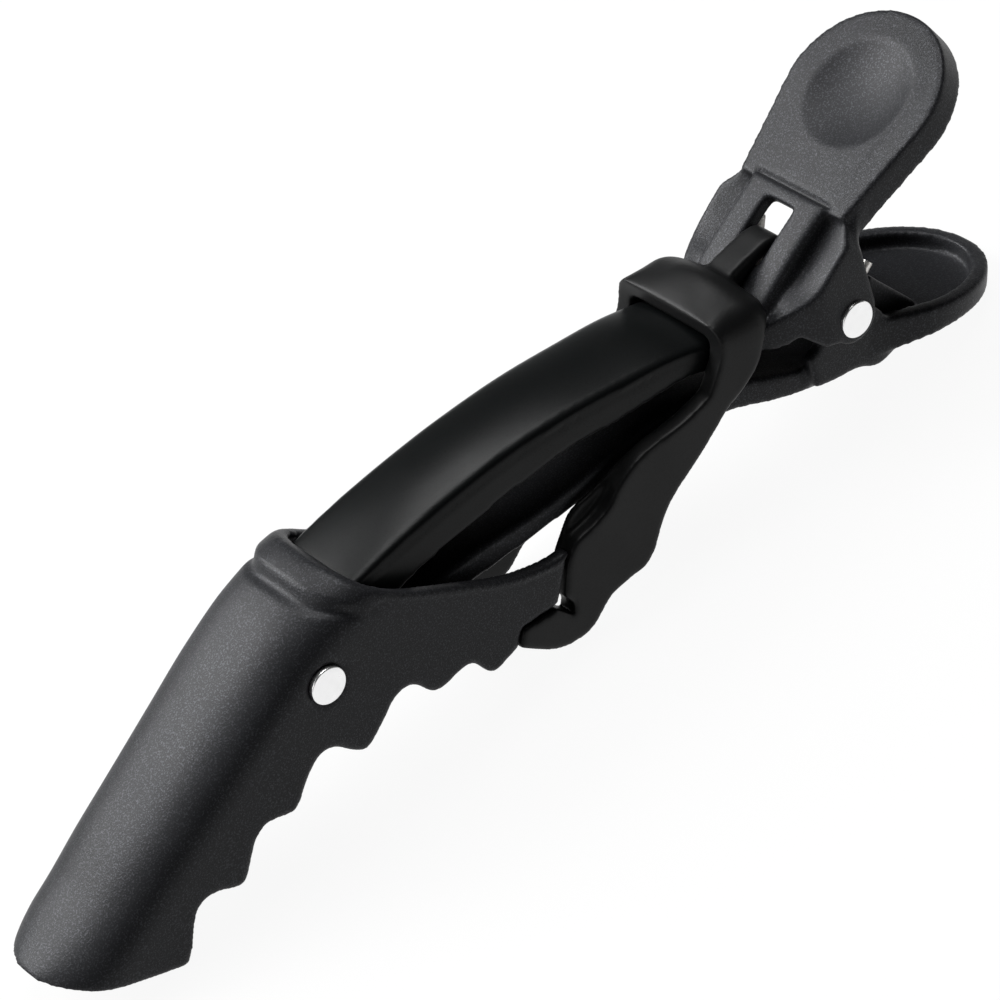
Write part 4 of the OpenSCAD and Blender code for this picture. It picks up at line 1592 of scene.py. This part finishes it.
@dataclass
class Studio:
    """White table and backdrop, soft lights and the camera."""

    origin: Vector
    lens: float = 162.0
    camera_place: Direction = (-0.1789335, -0.2815345, 0.2779607)
    camera_right: Direction = (0.7331796, -0.6267557, -0.2638653)
    camera_up: Direction = (0.5903632, 0.3940487, 0.7044125)
    camera_back: Direction = (-0.3375188, -0.6722373, 0.6589220)
    white: float = 1.0
    dim: float = 0.02
    table_size: float = 6.0
    table_drop: float = 0.0002
    table_grey: float = 0.6
    table_glow: float = 0.93

    def camera(self) -> None:
        """Sets the camera above the near left of the clip, rolled so that the clip climbs to the right."""
        data = bpy.data.cameras.new("camera")
        data.sensor_width = 36.0
        data.lens = self.lens
        data.clip_start, data.clip_end = 0.01, 50.0
        camera = bpy.data.objects.new("camera", data)
        axes = (Vector(axis) for axis in (self.camera_right, self.camera_up, self.camera_back))
        turn = Matrix(tuple(axes)).transposed().to_4x4()
        camera.matrix_world = Matrix.Translation(self.origin + Vector(self.camera_place)) @ turn
        bpy.context.scene.collection.objects.link(camera)
        bpy.context.scene.camera = camera

    def world(self) -> None:
        """Makes the surroundings white for the camera and dim for the object."""
        world = bpy.data.worlds.new("surroundings")
        bpy.context.scene.world = world
        world.use_nodes = True
        tree = world.node_tree
        path = tree.nodes.new("ShaderNodeLightPath")
        mix = tree.nodes.new("ShaderNodeMixShader")
        tree.links.new(path.outputs["Is Camera Ray"], mix.inputs[0])
        lit, seen = tree.nodes["Background"], tree.nodes.new("ShaderNodeBackground")
        for place, (background, strength) in enumerate(((lit, self.dim), (seen, self.white)), start=1):
            background.inputs["Color"].default_value = grey(1.0)
            background.inputs["Strength"].default_value = strength
            tree.links.new(background.outputs[0], mix.inputs[place])
        tree.links.new(mix.outputs[0], tree.nodes["World Output"].inputs["Surface"])

    def table(self) -> None:
        """Lays the table, which stays white to the camera and keeps a faint shadow."""
        half = self.table_size / 2
        mesh = bpy.data.meshes.new("table_top")
        mesh.from_pydata([(-half, -half, 0), (half, -half, 0), (half, half, 0), (-half, half, 0)], [], [(0, 1, 2, 3)])
        table = bpy.data.objects.new("table_top", mesh)
        table.location.z = -self.table_drop
        bpy.context.scene.collection.objects.link(table)
        s = Shader("white_table")
        s.dress("Base Color", grey(self.table_grey))
        s.dress("Roughness", 0.9)
        s.dress("Specular IOR Level", 0.0)
        path = s.node("ShaderNodeLightPath").outputs
        glow = s.node("ShaderNodeEmission", {}, {"Color": grey(1.0), "Strength": self.white})
        share = Number(s, path["Is Camera Ray"]) * self.table_glow + Number(s, path["Is Glossy Ray"])
        mix = s.node("ShaderNodeMixShader", {}, {0: share, 1: s.principled.outputs[0], 2: glow.outputs[0]})
        s.set(s.tree.nodes["Material Output"].inputs["Surface"], mix.outputs[0])
        table.data.materials.append(s.material)

    def build(self) -> None:
        """Builds the whole stage."""
        bpy.context.scene.view_settings.view_transform = "Standard"
        self.camera()
        self.world()
        self.table()
        for softbox in SOFTBOXES:
            softbox.hang()


# ---- the clip ---------------------------------------------------------------


@dataclass(frozen=True)
class Bend:
    """The two bodies at a piece's start and end, and the points there; nothing makes the piece follow them."""

    first: Body
    second: Body
    start: Direction
    end: Direction

    def fasten(self, piece: bpy.types.Object, origin: Vector) -> None:
        """Bakes the piece's place into its mesh; start and end are worked out from the rear pin axis but not used."""
        start, end = (tuple(Vector(p) * MM + origin) for p in (self.start, self.end))
        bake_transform(piece)


@dataclass
class SectioningClip:
    """The whole clip: builds, dresses and hands over each piece."""

    hinges: Hinges
    skin: float = 0.25
    polish_overlap: float = 3.0

    def hand_over(
        self, form: Form, node: str, material: bpy.types.Material, ride: Body | Bend
    ) -> bpy.types.Object:
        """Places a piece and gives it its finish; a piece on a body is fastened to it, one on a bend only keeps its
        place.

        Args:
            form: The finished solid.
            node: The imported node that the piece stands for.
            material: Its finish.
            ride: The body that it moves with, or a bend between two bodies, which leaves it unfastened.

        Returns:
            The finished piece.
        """
        piece = form.placed(self.hinges.origin)
        piece.name = node + "_finished"
        piece.data.materials.clear()
        piece.data.materials.append(material)
        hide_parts(node)
        if isinstance(ride, Bend):
            ride.fasten(piece, self.hinges.origin)
        else:
            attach(piece, ride.value)
        LOG.info("%s: %d faces", piece.name, len(piece.data.polygons))
        return piece

    def polish(self, piece: bpy.types.Object, material: bpy.types.Material, end: float) -> None:
        """Gives the part of a piece ahead of a place its own finish.

        Args:
            piece: The finished piece.
            material: The finish of its front part.
            end: Where the front part ends, in millimetres from the rear pin axis.
        """
        piece.data.materials.append(material)
        front = vectors(piece.data.polygons, "center")[:, 0] < self.hinges.origin.x + end * MM
        piece.data.polygons.foreach_set("material_index", front.astype(np.int32))

    def build(self) -> None:
        """Builds every piece."""
        h = self.hinges
        grained, satin, rubber, nickel, steel = (f.material() for f in (GRAINED, SATIN, RUBBER, NICKEL, STEEL))
        lever, jaw, lower = UpperLever(h), FrontJaw(h), LowerJaw(h)
        arm = self.hand_over(lever.build().mould(self.skin, 12), "upper_lever", grained, Body.UPPER)
        self.polish(arm, satin, h.collar_x + self.polish_overlap)
        self.hand_over(jaw.raise_lip(jaw.build().mould(self.skin, 11)), "front_jaw", grained, Body.NOSE)
        bar = lower.build().combine(Operation.JOIN, GripRidges(lower, grained).build())
        self.hand_over(bar.mould(self.skin, 14), "lower_jaw", grained, Body.LOWER)
        stretch = Bend(Body.UPPER, Body.NOSE, (-15.5, 0, 2), (-34.5, 0, -6))
        strap = TensionStrap(h, lever).build().mould(self.skin, 8)
        self.hand_over(strap, "tension_strap", rubber, stretch)
        twist = Bend(Body.LOWER, Body.UPPER, (0, -Spring.coil_half, 0), (0, Spring.coil_half, 0))
        self.hand_over(Spring(h, steel).build(), "torsion_spring", steel, twist)
        rear = Rivet("rear_rivet", h, 0, 0, h.saddle_width / 2, nickel)
        front = Rivet("front_rivet", h, -h.span, h.rise, h.jaw_width / 2, nickel)
        self.hand_over(rear.build(), "rear_pin", nickel, Body.LOWER)
        self.hand_over(front.build(), "front_pin", nickel, Body.UPPER)


def main() -> None:
    """Loads the frame and builds the clip and its stage round it."""
    logging.basicConfig(level=logging.INFO, format="%(message)s")
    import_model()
    hinges = Hinges.from_frame()
    Studio(hinges.origin).build()
    SectioningClip(hinges).build()


if __name__ == "__main__":
    main()
